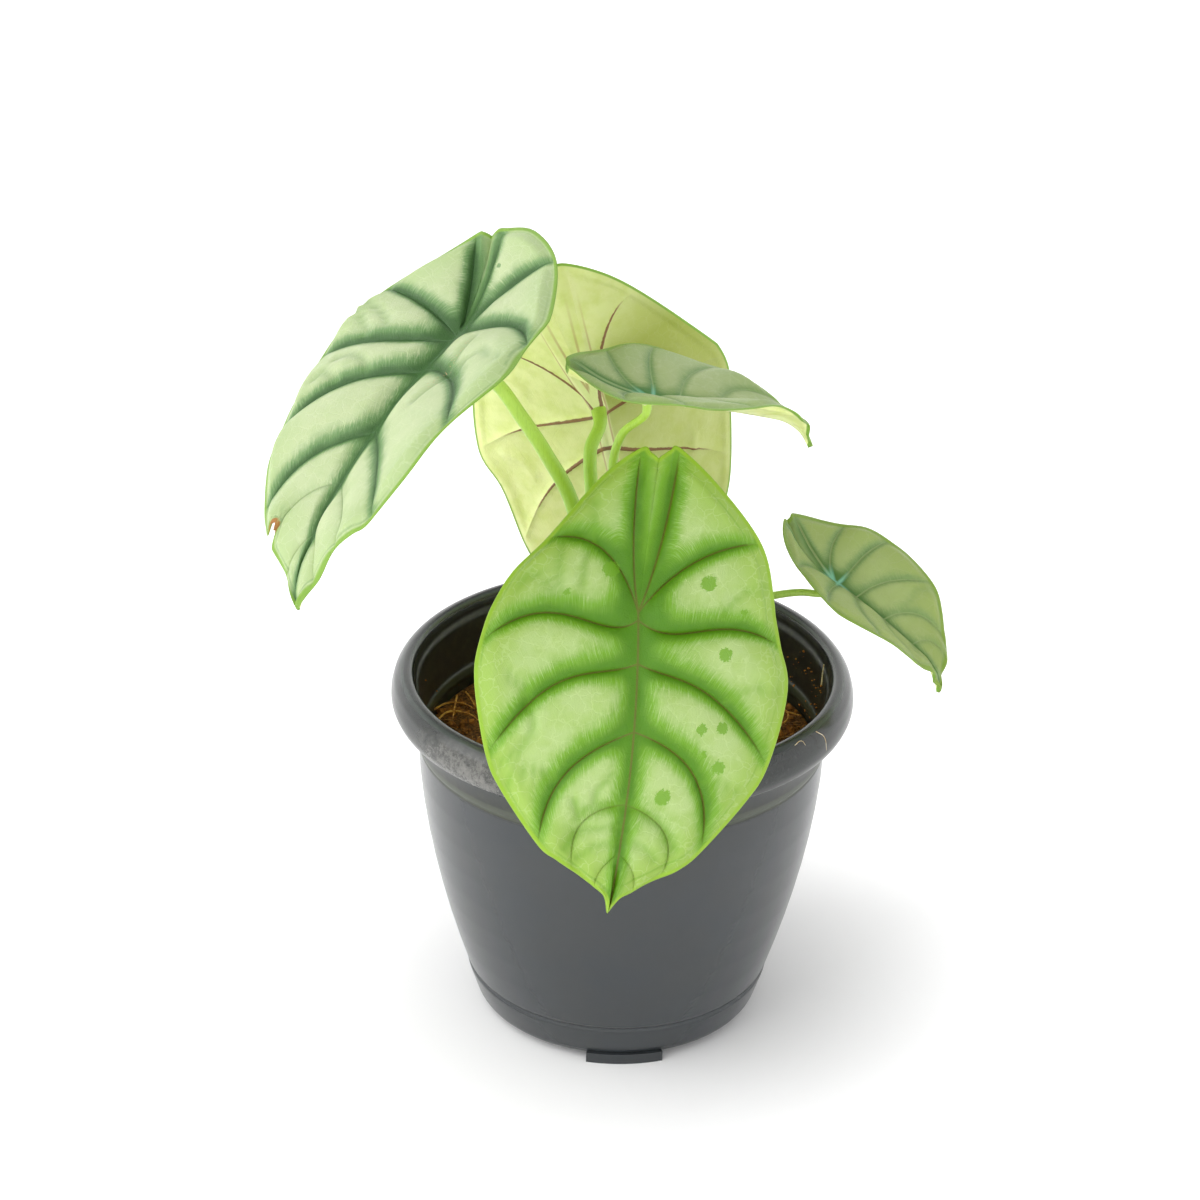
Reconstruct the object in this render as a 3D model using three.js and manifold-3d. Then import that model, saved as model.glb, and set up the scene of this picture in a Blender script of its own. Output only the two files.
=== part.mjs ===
// Potted silver dragon alocasia: nursery pot, soil, crown, five leaf stalks and five leaf blades.
// Millimetres, +Z up. Each blade is laid out flat as a net of veins, then bent into its place.
import * as THREE from 'three';
import { mergeVertices } from 'three/addons/utils/BufferGeometryUtils.js';
import Module from 'manifold-3d';

const wasm = await Module();
wasm.setup();

// Driving dimensions of the pot, with its axis on Z and the surface it stands on at Z 0

const POT_SIDES = 40;
const POT_HEIGHT = 108.5;
const RIM_RADIUS = 66.5;
const WALL_FOOT = { radius: 45.2, z: 14.2 };
const WALL_TOP = { radius: 58.8, z: 85.6 };
const WALL_BULGE = 1.7;
const WALL_STEPS = 5;
const WALL_THICKNESS = 1.7;
const FLOOR_UNDERSIDE = 5.2;
const FLOOR_TOP = 6.8;
const FOOT_TAB = { count: 3, width: 30, first: -86, inner: 36.8, outer: 43, height: 3.2 };
const DRAIN = { centre: 5, radius: 3.5, count: 6, ring: 26, sides: 10 };
const CLEARANCE = 0.3;

// Driving dimensions of the soil and of the crown that the stalks grow from

const SOIL_LEVEL = 82.6;
const SOIL_EDGE_STEP = 80;
const SOIL_RINGS = [15.5, 22, 29.5, 37, 44.5, 51.5];
const SOIL_BUMP = 1.1;
const CROWN = { bottom: 62, top: 92, radius: 10.4, sides: 20, lobes: 5, lobe: 0.035 };

// Driving dimensions of the blades

const BLADE_THICKNESS = { middle: 1.0, margin: 0.7 };
const SUBMARGIN = 0.92;
const MARGIN_WAVE = 0.7;
const PANELS = 8;
const FULL_PANEL_WIDTH = 14;
const JOINT_SWELL = { height: 1.1, reach: 3.2 };

const LARGE_BLADE = {
  columns: [0, 0.14, 0.5, 0.86],
  rows: [0, 0.06, 0.25, 0.5, 0.74, SUBMARGIN, 1],
  quilting: 2.7,
  midrib: 1.0,
  rib: 0.9,
};
const SMALL_BLADE = {
  columns: [0, 0.5],
  rows: [0, 0.1, 0.45, 0.88, 1],
  quilting: 1.0,
  midrib: 0.6,
  rib: 0.45,
};

// Half a blade, flat, as [across, along] from the joint of its stalk, the tip along +.
// Its lines are: back line to the notch, vein of the lobe, six side veins, tip. Each has its root
// on the midrib, a point halfway out, and its end on the margin, with one more margin point between.

const PLAIN_ROOTS = [0, 0, 0, 2, 13.8, 32, 51.5, 64.5, 81];
const LEFT_ROOTS = [0, 0, 0, 0, 14.5, 39, 58, 74, 95];

const PLAIN_HALF = {
  halfway: [
    [0, -21], [3.9, -20.5], [12.5, -14], [20, 2], [18.8, 19.8], [15.5, 42.5], [9.3, 57.5], [3.4, 70], [0, 81],
  ],
  margin: [
    [0, -43], [2.8, -44.6], [5.6, -45.6], [16, -36.8], [29, -20.5], [37, -7.5], [41, 8], [41.6, 20],
    [36.4, 38.5], [28.6, 50], [17.6, 61.4], [12.2, 66], [8.4, 69.2], [5.6, 72], [3.6, 74.6],
    [1.7, 77.4], [0, 81],
  ],
};
const FRONT_HALVES = {
  minus: {
    halfway: [
      [0, -21], [3.9, -20.5], [13.5, -14], [20, 1.5], [17.5, 19.2], [17, 43], [11.6, 59.5], [4.6, 70], [0, 81],
    ],
    margin: [
      [0, -42.1], [3, -44.5], [5.5, -45.3], [17, -35.6], [31, -19.7], [36.7, -5], [39.5, 8], [41.4, 20],
      [37.3, 41], [32.5, 51], [22, 64.5], [16.5, 69], [12.3, 71.2], [8.5, 73.2], [5.2, 75],
      [2.2, 76.8], [0, 81],
    ],
  },
  plus: {
    halfway: [
      [0, -21], [3.9, -20.5], [11.9, -17.3], [20, -3.1], [19.5, 16.2], [17.2, 43], [11.2, 56.5], [4.1, 69],
      [0, 81],
    ],
    margin: [
      [0, -42.1], [2.4, -43.8], [5, -45.2], [14.5, -37.4], [27, -20.3], [36.5, -9.2], [42.6, 7.5], [43.2, 19.5],
      [38.8, 38.5], [33.3, 48.8], [22, 62.5], [16.5, 66.2], [11.8, 69.2], [8.2, 71.6], [5, 73.6],
      [1.8, 76.2], [0, 81],
    ],
  },
};
const BACK_HALVES = {
  minus: {
    halfway: [
      [0, -21], [3.9, -20.5], [12, -15.5], [20, 7], [18.5, 27], [17, 48], [11.5, 60], [4.3, 69.8], [0, 81],
    ],
    margin: [
      [0, -43], [2.8, -44.6], [5.6, -45.6], [16, -36.8], [28.5, -19.5], [39, -3], [42.6, 19.5], [38.3, 32],
      [35, 50], [29.5, 60], [22.5, 65.4], [17, 69], [12.3, 71.6], [8.6, 73.6], [5.4, 75.4],
      [2.3, 77.3], [0, 81],
    ],
  },
  plus: {
    halfway: [
      [0, -21], [3.9, -20.5], [11.6, -22.6], [20, 0.5], [19.3, 23.5], [17, 43], [11.5, 57.5], [4.3, 69.3],
      [0, 81],
    ],
    margin: [
      [0, -43], [3.5, -45.6], [8.5, -46.8], [17.5, -40.5], [25.5, -30.5], [33.9, -15], [41.5, 4], [42.3, 16],
      [38.9, 37], [33.4, 49], [21.4, 63.4], [16, 67.4], [11.7, 70.2], [8.2, 72.4], [5.2, 74.4],
      [2.2, 76.6], [0, 81],
    ],
  },
};
const LEFT_HALVES = {
  minus: {
    halfway: [
      [0, -18], [3, -19], [12.5, -17], [20, -2.5], [22, 24.5], [17, 56], [12, 70.5], [5, 81.5], [0, 95],
    ],
    margin: [
      [0, -36.2], [2.6, -37.3], [5.4, -38.4], [17, -38], [29, -28], [36.2, -8], [39.8, 11], [44.8, 26.5],
      [39.5, 45], [36, 59], [28, 72.6], [23, 76.2], [16.2, 80.3], [11, 85], [7.2, 89],
      [4.6, 92.3], [0, 95],
    ],
  },
  plus: {
    halfway: [
      [0, -18], [3, -18], [18, -9], [22, 7.4], [18.5, 23.4], [15, 51], [10.5, 66], [4.3, 80.5], [0, 95],
    ],
    margin: [
      [0, -36.2], [2.2, -36.4], [4.6, -35.6], [14, -28], [31.5, -12.2], [40.6, 0.5], [41.3, 15], [38.4, 31],
      [33.2, 44.4], [31, 56], [23.5, 70], [18.3, 75.7], [13.8, 80.2], [9.8, 83.8], [6, 87.2],
      [2.4, 91.4], [0, 95],
    ],
  },
};

// Sag is how far each line dips toward the tip near the midrib, drift how far the midrib lies from
// the fold of the blade behind its middle

const SAGS = {
  plain: [0, 0, 0, 1.5, 1, 0, 0, 0, 0],
  front: { minus: [0, 0, 0, 4.8, 2.5, 0.5, 0, 0, 0], plus: [0, 0, 0, 6, 3.5, 0.5, 0, 0, 0] },
  back: { minus: [0, 0, 0, 2, 1, 0, 0, 0, 0], plus: [0, 0, 0, 1, 2, 0, 0, 0, 0] },
  left: { minus: [0, 0, 0, 2, 0, 0, 0, 0, 0], plus: [0, 0, 0, 2.5, 2.5, 1, 0, 0, 0] },
};
const DRIFT = { left: [-1.5, 1.1] };
const DRIFT_END = { from: 0.25, to: 0.75 };
const SAG_PEAK = 9.5;
const SMALL_SCALES = {
  upper: { across: 0.61, tip: 0.63, lobe: 0.56 },
  right: { across: 0.565, tip: 0.548, lobe: 0.51 },
};

// Where each blade stands and how it is bent, in millimetres and degrees. The heading is the way its
// tip points seen from above, the dip how far the tip points down, the roll is about the midrib.
// fold and curl are [minus side, plus side]. tip, lobe and half are its reach from the joint.

const LEAVES = {
  left: {
    joint: [-46.8, -4, 209.8], heading: -126.3, dip: 18.5, roll: -11.5,
    fold: [10.8, 16.1], curl: [0.5, -28.4], tipBend: 21.2, lobeBend: 31.9, tipCurl: 18.6,
    twist: -12.6, tipSway: -9.5, lobeSway: 12.2, tip: 95, lobe: 38.9, half: 42,
    roots: LEFT_ROOTS, halves: LEFT_HALVES, sags: SAGS.left, drift: DRIFT.left, build: LARGE_BLADE, colour: 0x8fb583,
  },
  back: {
    joint: [-8.4, 24, 178], heading: 56.7, dip: 69.2, roll: 34.9,
    fold: [19.3, 24], curl: [11.3, 11.3], tipBend: 21.1, lobeBend: 14.1, tipCurl: 0,
    twist: 4.3, tipSway: 0, lobeSway: -9, tip: 81, lobe: 46, half: 42,
    roots: PLAIN_ROOTS, halves: BACK_HALVES, sags: SAGS.back, build: LARGE_BLADE, colour: 0xc3cd7c,
  },
  upper: {
    joint: [5.3, -8, 194.8], heading: 10.6, dip: 8.7, roll: 2.8,
    fold: [24.3, 21], curl: [-14.9, -14.9], tipBend: 8.7, lobeBend: 31, tipCurl: 56.3,
    twist: 14.4, tipSway: 0, lobeSway: 0, tip: 51, lobe: 26.5, half: 25.7,
    roots: PLAIN_ROOTS, scale: SMALL_SCALES.upper, build: SMALL_BLADE, colour: 0x86a277,
  },
  front: {
    joint: [3.8, -44, 147.5], heading: -87.4, dip: 52, roll: 3,
    fold: [0, 0], curl: [-14, -14], tipBend: 24, lobeBend: 4, tipCurl: 0,
    twist: 0, tipSway: 7.2, lobeSway: -6.3, tip: 81, lobe: 46, half: 44,
    roots: PLAIN_ROOTS, halves: FRONT_HALVES, sags: SAGS.front, build: LARGE_BLADE, colour: 0x8dbd55,
  },
  right: {
    joint: [59.4, 3, 134.8], heading: -26, dip: 26.7, roll: 3.8,
    fold: [30.8, 18.9], curl: [-7.2, -7.2], tipBend: 10, lobeBend: 35.8, tipCurl: 49.6,
    twist: 3.3, tipSway: 0, lobeSway: 0, tip: 44.4, lobe: 23.4, half: 23.7,
    roots: PLAIN_ROOTS, scale: SMALL_SCALES.right, build: SMALL_BLADE, colour: 0x7f9a72,
  },
};
const TIP_CURL_FROM = 0.72;

// Stalks: foot on the crown, points on the way up, radius at the foot and at the blade.
// lead is how far below the blade the stalk turns to meet it squarely.

const STALK = { sides: 8, steps: 15, flare: 0.9, flareLength: 10, footRise: 5 };
const STALKS = {
  left: { foot: [-7.2, -0.6], way: [[-10.2, 0.4, 132], [-15.2, 0, 159.2], [-22.8, -1, 175],
    [-29.7, -2, 186.4], [-35.5, -3, 195.3]], radii: [2.5, 1.85], lead: 4 },
  back: { foot: [-3.2, 6.6], way: [[-7.2, 8.4, 130], [-9.8, 10.4, 158], [-10.4, 12.4, 170]],
    radii: [2.4, 1.8], lead: 5 },
  upper: { foot: [0.4, 0.6], way: [[-2.4, -0.6, 135], [-3.9, -3, 172], [-1.4, -5.4, 183]],
    radii: [1.9, 1.1], lead: 2 },
  front: { foot: [0.8, -7.2], way: [[1.2, -10.5, 113], [2, -20.5, 131]],
    radii: [2.3, 1.6], lead: 8 },
  right: { foot: [7.2, 0.2], way: [[11, 2.4, 107], [20, 3.6, 119.5], [32, 3.2, 126.8],
    [42.6, 3, 130.2], [50, 3, 131.4]], radii: [1.6, 0.95], lead: 1.4 },
};

const COLOURS = { pot: 0x23282d, soil: 0x5a3420, crown: 0x8fa548, stalk: 0x9cbe4a };

// Closed triangle meshes

function signedVolume(position, index) {
  const a = new THREE.Vector3();
  const b = new THREE.Vector3();
  const c = new THREE.Vector3();
  let volume = 0;
  for (let i = 0; i < index.length; i += 3) {
    a.fromArray(position, index[i] * 3);
    b.fromArray(position, index[i + 1] * 3);
    c.fromArray(position, index[i + 2] * 3);
    volume += a.dot(b.cross(c)) / 6;
  }
  return volume;
}

function closedSolid(geometry) {
  const bare = geometry.clone();
  bare.deleteAttribute('normal');
  bare.deleteAttribute('uv');
  const welded = mergeVertices(bare, 1e-4);
  const corners = welded.index.array;
  const triangles = [];
  for (let i = 0; i < corners.length; i += 3) {
    const [a, b, c] = corners.slice(i, i + 3);
    if (a !== b && b !== c && c !== a) triangles.push(a, b, c);
  }
  const vertProperties = new Float32Array(welded.attributes.position.array);
  if (signedVolume(vertProperties, triangles) < 0) triangles.reverse();
  return new wasm.Manifold(new wasm.Mesh({
    numProp: 3, vertProperties, triVerts: new Uint32Array(triangles),
  }));
}

function solidGeometry(manifold) {
  const mesh = manifold.getMesh();
  const geometry = new THREE.BufferGeometry();
  geometry.setAttribute('position', new THREE.BufferAttribute(mesh.vertProperties, 3));
  geometry.setIndex(new THREE.BufferAttribute(mesh.triVerts, 1));
  const faceted = geometry.toNonIndexed();
  faceted.computeVertexNormals();
  return faceted;
}

function indexedGeometry(points, triangles) {
  const geometry = new THREE.BufferGeometry().setFromPoints(points);
  geometry.setIndex(triangles);
  return geometry;
}

function named(name, manifold, colour, roughness) {
  const material = new THREE.MeshStandardMaterial({ color: colour, roughness, metalness: 0 });
  const mesh = new THREE.Mesh(solidGeometry(manifold), material);
  mesh.name = name;
  return mesh;
}

function turned(profile, sides) {
  const outline = profile.map(([radius, z]) => new THREE.Vector2(radius, z));
  return new THREE.LatheGeometry(outline, sides).rotateX(Math.PI / 2);
}

// Pot

function wallRadius(z) {
  const share = (z - WALL_FOOT.z) / (WALL_TOP.z - WALL_FOOT.z);
  const swell = 1 - (1 - share) ** WALL_BULGE;
  return WALL_FOOT.radius + (WALL_TOP.radius - WALL_FOOT.radius) * swell;
}

function wallHeights(top) {
  const heights = [];
  for (let i = 0; i <= WALL_STEPS; i += 1) {
    heights.push(THREE.MathUtils.lerp(WALL_FOOT.z, top, i / WALL_STEPS));
  }
  return heights;
}

function insideProfile() {
  const wall = wallHeights(SOIL_EDGE_STEP).map((z) => [wallRadius(z) - WALL_THICKNESS, z]);
  return [[0, FLOOR_TOP], [40.2, FLOOR_TOP], [41.8, 8.6], ...wall];
}

function potProfile() {
  const foot = [
    [0, FLOOR_UNDERSIDE], [36.5, FLOOR_UNDERSIDE], [38, 2.4], [41.3, 2.4], [42.2, 3.6], [45, 12.4], [44.5, 13.2],
  ];
  const wall = wallHeights(WALL_TOP.z).map((z) => [wallRadius(z), z]);
  const rim = RIM_RADIUS;
  const collar = [
    [58.7, 86.4], [59.6, 87.6], [60.6, 97.4], [rim - 3.3, 96], [rim - 1, 97.4], [rim, 99.8],
    [rim - 0.1, 102.4], [rim - 1, 105.6], [rim - 2.7, 107.8], [rim - 4.6, POT_HEIGHT], [rim - 6.1, 107.9],
    [rim - 6.8, 106.2], [rim - 7, 104.2],
  ];
  const innerLedges = [[58.5, 103.2], [57.6, 89.4], [56.8, 88.6], [56.7, 86.2], [57.1, 85.4]];
  return [...foot, ...wall, ...collar, ...innerLedges, ...insideProfile().reverse()];
}

function footTab(angle) {
  const half = THREE.MathUtils.degToRad(FOOT_TAB.width / 2);
  const outline = new THREE.Shape();
  outline.absarc(0, 0, FOOT_TAB.outer, -half, half, false);
  outline.absarc(0, 0, FOOT_TAB.inner, half, -half, true);
  const tab = new THREE.ExtrudeGeometry(outline, {
    depth: FOOT_TAB.height, bevelEnabled: false, curveSegments: 5,
  });
  return closedSolid(tab.rotateZ(THREE.MathUtils.degToRad(angle)));
}

function drainHole(radius, distance, angle) {
  const hole = new THREE.CylinderGeometry(radius, radius, FLOOR_TOP, DRAIN.sides).rotateX(Math.PI / 2);
  return closedSolid(hole.translate(distance * Math.cos(angle), distance * Math.sin(angle), FLOOR_TOP));
}

function potSolid() {
  let pot = closedSolid(turned(potProfile(), POT_SIDES));
  for (let i = 0; i < FOOT_TAB.count; i += 1) {
    pot = pot.add(footTab(FOOT_TAB.first + (360 * i) / FOOT_TAB.count));
  }
  pot = pot.subtract(drainHole(DRAIN.centre, 0, 0));
  for (let i = 0; i < DRAIN.count; i += 1) {
    pot = pot.subtract(drainHole(DRAIN.radius, DRAIN.ring, (2 * Math.PI * i) / DRAIN.count));
  }
  return pot;
}

// Soil, with its bumps and the plain hole that the crown stands in

function soilBump(x, y) {
  const broad = Math.sin(0.09 * x + 0.7) * Math.cos(0.11 * y - 0.4);
  const clods = Math.sin(0.37 * x - 0.21 * y + 1.9) * Math.sin(0.29 * y + 0.24 * x);
  return SOIL_BUMP * (0.7 * broad + 0.8 * clods);
}

function soilSolid() {
  const [, ...inside] = insideProfile();
  const side = inside.map(([radius, z], i) => [radius - CLEARANCE, i < 2 ? z + CLEARANCE : z]);
  const holeRadius = CROWN.radius * (1 + CROWN.lobe) + CLEARANCE;
  const holeFloor = CROWN.bottom - CLEARANCE;
  const edge = [wallRadius(SOIL_LEVEL) - WALL_THICKNESS - CLEARANCE, SOIL_LEVEL];
  const top = [holeRadius, ...SOIL_RINGS].map((radius) => [radius, SOIL_LEVEL]);
  const profile = [[0, side[0][1]], ...side, edge, ...top.reverse(), [holeRadius, holeFloor], [0, holeFloor]];
  const soil = turned(profile, POT_SIDES);
  const place = soil.attributes.position;
  for (let i = 0; i < place.count; i += 1) {
    const z = place.getZ(i);
    if (Math.abs(z - SOIL_LEVEL) < 1e-3) place.setZ(i, z + soilBump(place.getX(i), place.getY(i)));
  }
  return closedSolid(soil);
}

// Crown of sheathed stalk bases, lobed round its axis

function crownSolid() {
  const { bottom, top, radius } = CROWN;
  const profile = [
    [0, bottom], [radius * 0.62, bottom], [radius * 0.9, bottom + 6], [radius, bottom + 14],
    [radius * 0.97, top - 6], [radius * 0.99, top - 1.2], [radius * 0.93, top], [0, top],
  ];
  const crown = turned(profile, CROWN.sides);
  const place = crown.attributes.position;
  for (let i = 0; i < place.count; i += 1) {
    const angle = Math.atan2(place.getY(i), place.getX(i));
    const swell = 1 + CROWN.lobe * Math.cos(CROWN.lobes * angle);
    place.setX(i, place.getX(i) * swell);
    place.setY(i, place.getY(i) * swell);
  }
  return closedSolid(crown);
}

// Flat net of a half blade: line runs from 0 (back line) to 8 (tip), out from 0 (midrib) to 1 (margin)

function catmullRom(points, at) {
  const last = points.length - 1;
  const start = Math.min(Math.floor(at), last - 1);
  const t = at - start;
  const pick = (i) => points[Math.min(Math.max(start + i, 0), last)];
  const [before, from, to, after] = [pick(-1), pick(0), pick(1), pick(2)];
  return from.map((value, axis) => {
    const slope = to[axis] - before[axis];
    const square = 2 * before[axis] - 5 * value + 4 * to[axis] - after[axis];
    const cube = 3 * value - 3 * to[axis] + after[axis] - before[axis];
    return 0.5 * (2 * value + slope * t + square * t * t + cube * t * t * t);
  });
}

function halfNet(leaf, side) {
  const { roots, scale = { across: 1, tip: 1, lobe: 1 } } = leaf;
  const name = side > 0 ? 'plus' : 'minus';
  const half = leaf.halves ? leaf.halves[name] : PLAIN_HALF;
  const sags = (leaf.sags ? leaf.sags[name] : SAGS.plain).map((sag) => sag * scale.tip);
  const [driftU, driftV] = leaf.drift || [0, 0];
  const meanScale = (scale.tip + scale.lobe) / 2;
  const margin = half.margin.map(([u, v]) => [u * scale.across, v * (v > 0 ? scale.tip : scale.lobe)]);
  const bows = half.halfway.map(([u, v], line) => {
    const [endU, endV] = half.margin[line * 2];
    if (line === PANELS) return [0, 0];
    return [(u - endU / 2) * scale.across, (v - (roots[line] + endV) / 2) * meanScale];
  });
  const rootLine = roots.map((v) => v * scale.tip);
  return { margin, bows, rootLine, sags, drift: [driftU * side, driftV], tip: leaf.tip };
}

function netPoint(net, line, out) {
  const below = Math.min(Math.floor(line), PANELS - 1);
  const root = [0, THREE.MathUtils.lerp(net.rootLine[below], net.rootLine[below + 1], line - below)];
  const bow = catmullRom(net.bows, line);
  const end = catmullRom(net.margin, line * 2);
  const point = root.map((value, axis) => {
    const middle = (value + end[axis]) / 2 + 2 * bow[axis];
    return value * (1 - out) ** 2 + 2 * middle * out * (1 - out) + end[axis] * out ** 2;
  });
  const sag = THREE.MathUtils.lerp(net.sags[below], net.sags[below + 1], line - below);
  const reach = Math.max(0, root[1]) / net.tip;
  const drifted = (1 - out) * (1 - THREE.MathUtils.smoothstep(reach, DRIFT_END.from, DRIFT_END.to));
  return [
    point[0] + net.drift[0] * drifted,
    point[1] + net.drift[1] * drifted + SAG_PEAK * sag * out * (1 - out) ** 3,
  ];
}

// Bending of a flat blade into its place

function arc(length, curvature) {
  if (Math.abs(curvature) < 1e-9) return { y: length, z: 0, angle: 0 };
  const angle = curvature * length;
  return { y: Math.sin(angle) / curvature, z: -(1 - Math.cos(angle)) / curvature, angle };
}

function midribArc(v, leaf) {
  const turn = THREE.MathUtils.degToRad;
  if (v < 0) return arc(v, -turn(leaf.lobeBend) / leaf.lobe);
  const curlStart = TIP_CURL_FROM * leaf.tip;
  const bend = turn(leaf.tipBend) / leaf.tip;
  const first = arc(Math.min(v, curlStart), bend);
  const second = arc(Math.max(0, v - curlStart), bend + turn(leaf.tipCurl) / (leaf.tip - curlStart));
  return {
    y: first.y + second.y * Math.cos(first.angle) + second.z * Math.sin(first.angle),
    z: first.z - second.y * Math.sin(first.angle) + second.z * Math.cos(first.angle),
    angle: first.angle + second.angle,
  };
}

function crossSection(u, leaf) {
  const side = u < 0 ? 0 : 1;
  const fold = THREE.MathUtils.degToRad(leaf.fold[side]);
  const curvature = THREE.MathUtils.degToRad(leaf.curl[side]) / leaf.half;
  const open = fold + curvature * Math.abs(u);
  const across = (Math.sin(open) - Math.sin(fold)) / curvature;
  return { across: u < 0 ? -across : across, rise: (Math.cos(fold) - Math.cos(open)) / curvature };
}

function leafFrame(leaf) {
  const heading = THREE.MathUtils.degToRad(leaf.heading);
  const dip = THREE.MathUtils.degToRad(leaf.dip);
  const roll = THREE.MathUtils.degToRad(leaf.roll);
  const along = new THREE.Vector3(
    Math.cos(heading) * Math.cos(dip), Math.sin(heading) * Math.cos(dip), -Math.sin(dip),
  );
  const level = new THREE.Vector3(
    Math.cos(heading) * Math.sin(dip), Math.sin(heading) * Math.sin(dip), Math.cos(dip),
  );
  const across = along.clone().cross(level).applyAxisAngle(along, -roll);
  const up = level.clone().applyAxisAngle(along, -roll);
  return new THREE.Matrix4().makeBasis(across, along, up).setPosition(new THREE.Vector3(...leaf.joint));
}

function bladePoint(u, v, leaf, frame) {
  const rib = midribArc(v, leaf);
  const section = crossSection(u, leaf);
  const twist = (THREE.MathUtils.degToRad(leaf.twist) * v) / leaf.tip;
  const across = section.across * Math.cos(twist) - section.rise * Math.sin(twist);
  const rise = section.across * Math.sin(twist) + section.rise * Math.cos(twist);
  const sway = v > 0 ? leaf.tipSway * (v / leaf.tip) ** 2 : (leaf.lobeSway * -v) / leaf.lobe;
  const local = new THREE.Vector3(
    across + sway, rib.y + rise * Math.sin(rib.angle), rib.z + rise * Math.cos(rib.angle),
  );
  return local.applyMatrix4(frame);
}

function bladeNormal(u, v, leaf, frame) {
  const step = 0.05;
  const side = u < 0 ? -1 : 1;
  const here = bladePoint(u, v, leaf, frame);
  const across = bladePoint(u + side * step, v, leaf, frame).sub(here).multiplyScalar(side);
  const along = bladePoint(u, v + step, leaf, frame).sub(here);
  const normal = across.cross(along).normalize();
  if (Math.abs(u) > 1e-6) return normal;
  const other = bladePoint(-step, v, leaf, frame).sub(here).negate().cross(along).normalize();
  return normal.add(other).normalize();
}

// Relief of a blade: quilted panels between the veins, ribs under the veins, waved margin

function reliefOf(leaf, net, line, out, [u, v]) {
  const { build } = leaf;
  const panel = Math.min(Math.floor(line + 1e-6), PANELS - 1);
  const share = Math.max(0, line - panel);
  const onVein = share < 1e-6 && panel > 0;
  const near = netPoint(net, panel, out);
  const far = netPoint(net, panel + 1, out);
  const width = Math.hypot(near[0] - far[0], near[1] - far[1]);
  const dome = Math.sin(Math.PI * Math.min(share, 1)) ** 0.6;
  const rise = THREE.MathUtils.smoothstep(out, 0, 0.22) * THREE.MathUtils.smoothstep(1 - out, 0, 0.14);
  const flat = panel === 0 ? 0.25 : 1;
  const lift = build.quilting * flat * dome * rise * Math.min(1, width / FULL_PANEL_WIDTH);
  const wave = MARGIN_WAVE * Math.sin(3.6 * line + leaf.heading) * THREE.MathUtils.smoothstep(out, 0.5, 1);
  const swell = JOINT_SWELL.height * Math.exp(-(u * u + v * v) / JOINT_SWELL.reach ** 2);
  let rib = 0;
  if (out === 0) rib = build.midrib * (1 - (0.75 * Math.max(0, v)) / leaf.tip);
  else if (onVein) rib = build.rib * (1 - out) ** 0.6 * Math.min(1, width / 6);
  return { lift: lift + wave, rib: rib + swell };
}

function bladeSolid(leaf) {
  const frame = leafFrame(leaf);
  const lines = [];
  for (let panel = 0; panel < PANELS; panel += 1) {
    leaf.build.columns.forEach((share) => lines.push(panel + share));
  }
  lines.push(PANELS);
  const upper = [];
  const lower = [];
  const known = new Map();
  const faces = [];
  const border = [];

  function vertex(net, side, line, out) {
    const [u, v] = netPoint(net, line, out);
    const key = `${(side * u).toFixed(3)},${v.toFixed(3)}`.replace('-0.000', '0.000');
    if (known.has(key)) return known.get(key);
    const { lift, rib } = reliefOf(leaf, net, line, out, [u, v]);
    const half = THREE.MathUtils.lerp(BLADE_THICKNESS.middle, BLADE_THICKNESS.margin, out) / 2;
    const middle = bladePoint(side * u, v, leaf, frame);
    const normal = bladeNormal(side * u, v, leaf, frame);
    upper.push(middle.clone().addScaledVector(normal, lift + half));
    lower.push(middle.clone().addScaledVector(normal, lift - half - rib));
    known.set(key, upper.length - 1);
    return upper.length - 1;
  }

  for (const side of [1, -1]) {
    const net = halfNet(leaf, side);
    const grid = lines.map((line) => leaf.build.rows.map((out) => vertex(net, side, line, out)));
    const last = leaf.build.rows.length - 1;
    for (let i = 0; i + 1 < grid.length; i += 1) {
      for (let j = 0; j < last; j += 1) {
        const [a, b, c, d] = [grid[i][j], grid[i][j + 1], grid[i + 1][j + 1], grid[i + 1][j]];
        for (const face of [[a, b, c], [a, c, d]]) faces.push(side > 0 ? face : face.reverse());
      }
      const edge = [grid[i][last], grid[i + 1][last]];
      border.push(side > 0 ? edge : edge.reverse());
    }
  }
  const under = upper.length;
  const triangles = [];
  for (const [a, b, c] of faces) {
    if (a !== b && b !== c && c !== a) triangles.push(a, b, c, under + a, under + c, under + b);
  }
  for (const [a, b] of border) {
    triangles.push(b, a, under + a, b, under + a, under + b);
  }
  return closedSolid(indexedGeometry([...upper, ...lower], triangles));
}

// Stalks: tapered tubes from the crown to the underside of a blade

function stalkPath(name) {
  const stalk = STALKS[name];
  const leaf = LEAVES[name];
  const normal = new THREE.Vector3();
  leafFrame(leaf).extractBasis(new THREE.Vector3(), new THREE.Vector3(), normal);
  const seat = BLADE_THICKNESS.middle / 2 + leaf.build.midrib + JOINT_SWELL.height + CLEARANCE;
  const below = (distance) => new THREE.Vector3(...leaf.joint).addScaledVector(normal, -distance);
  const footHeight = CROWN.top + CLEARANCE;
  return new THREE.CatmullRomCurve3([
    new THREE.Vector3(...stalk.foot, footHeight),
    new THREE.Vector3(...stalk.foot, footHeight + STALK.footRise),
    ...stalk.way.map((point) => new THREE.Vector3(...point)),
    below(seat + stalk.lead),
    below(seat),
  ], false, 'centripetal');
}

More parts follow.
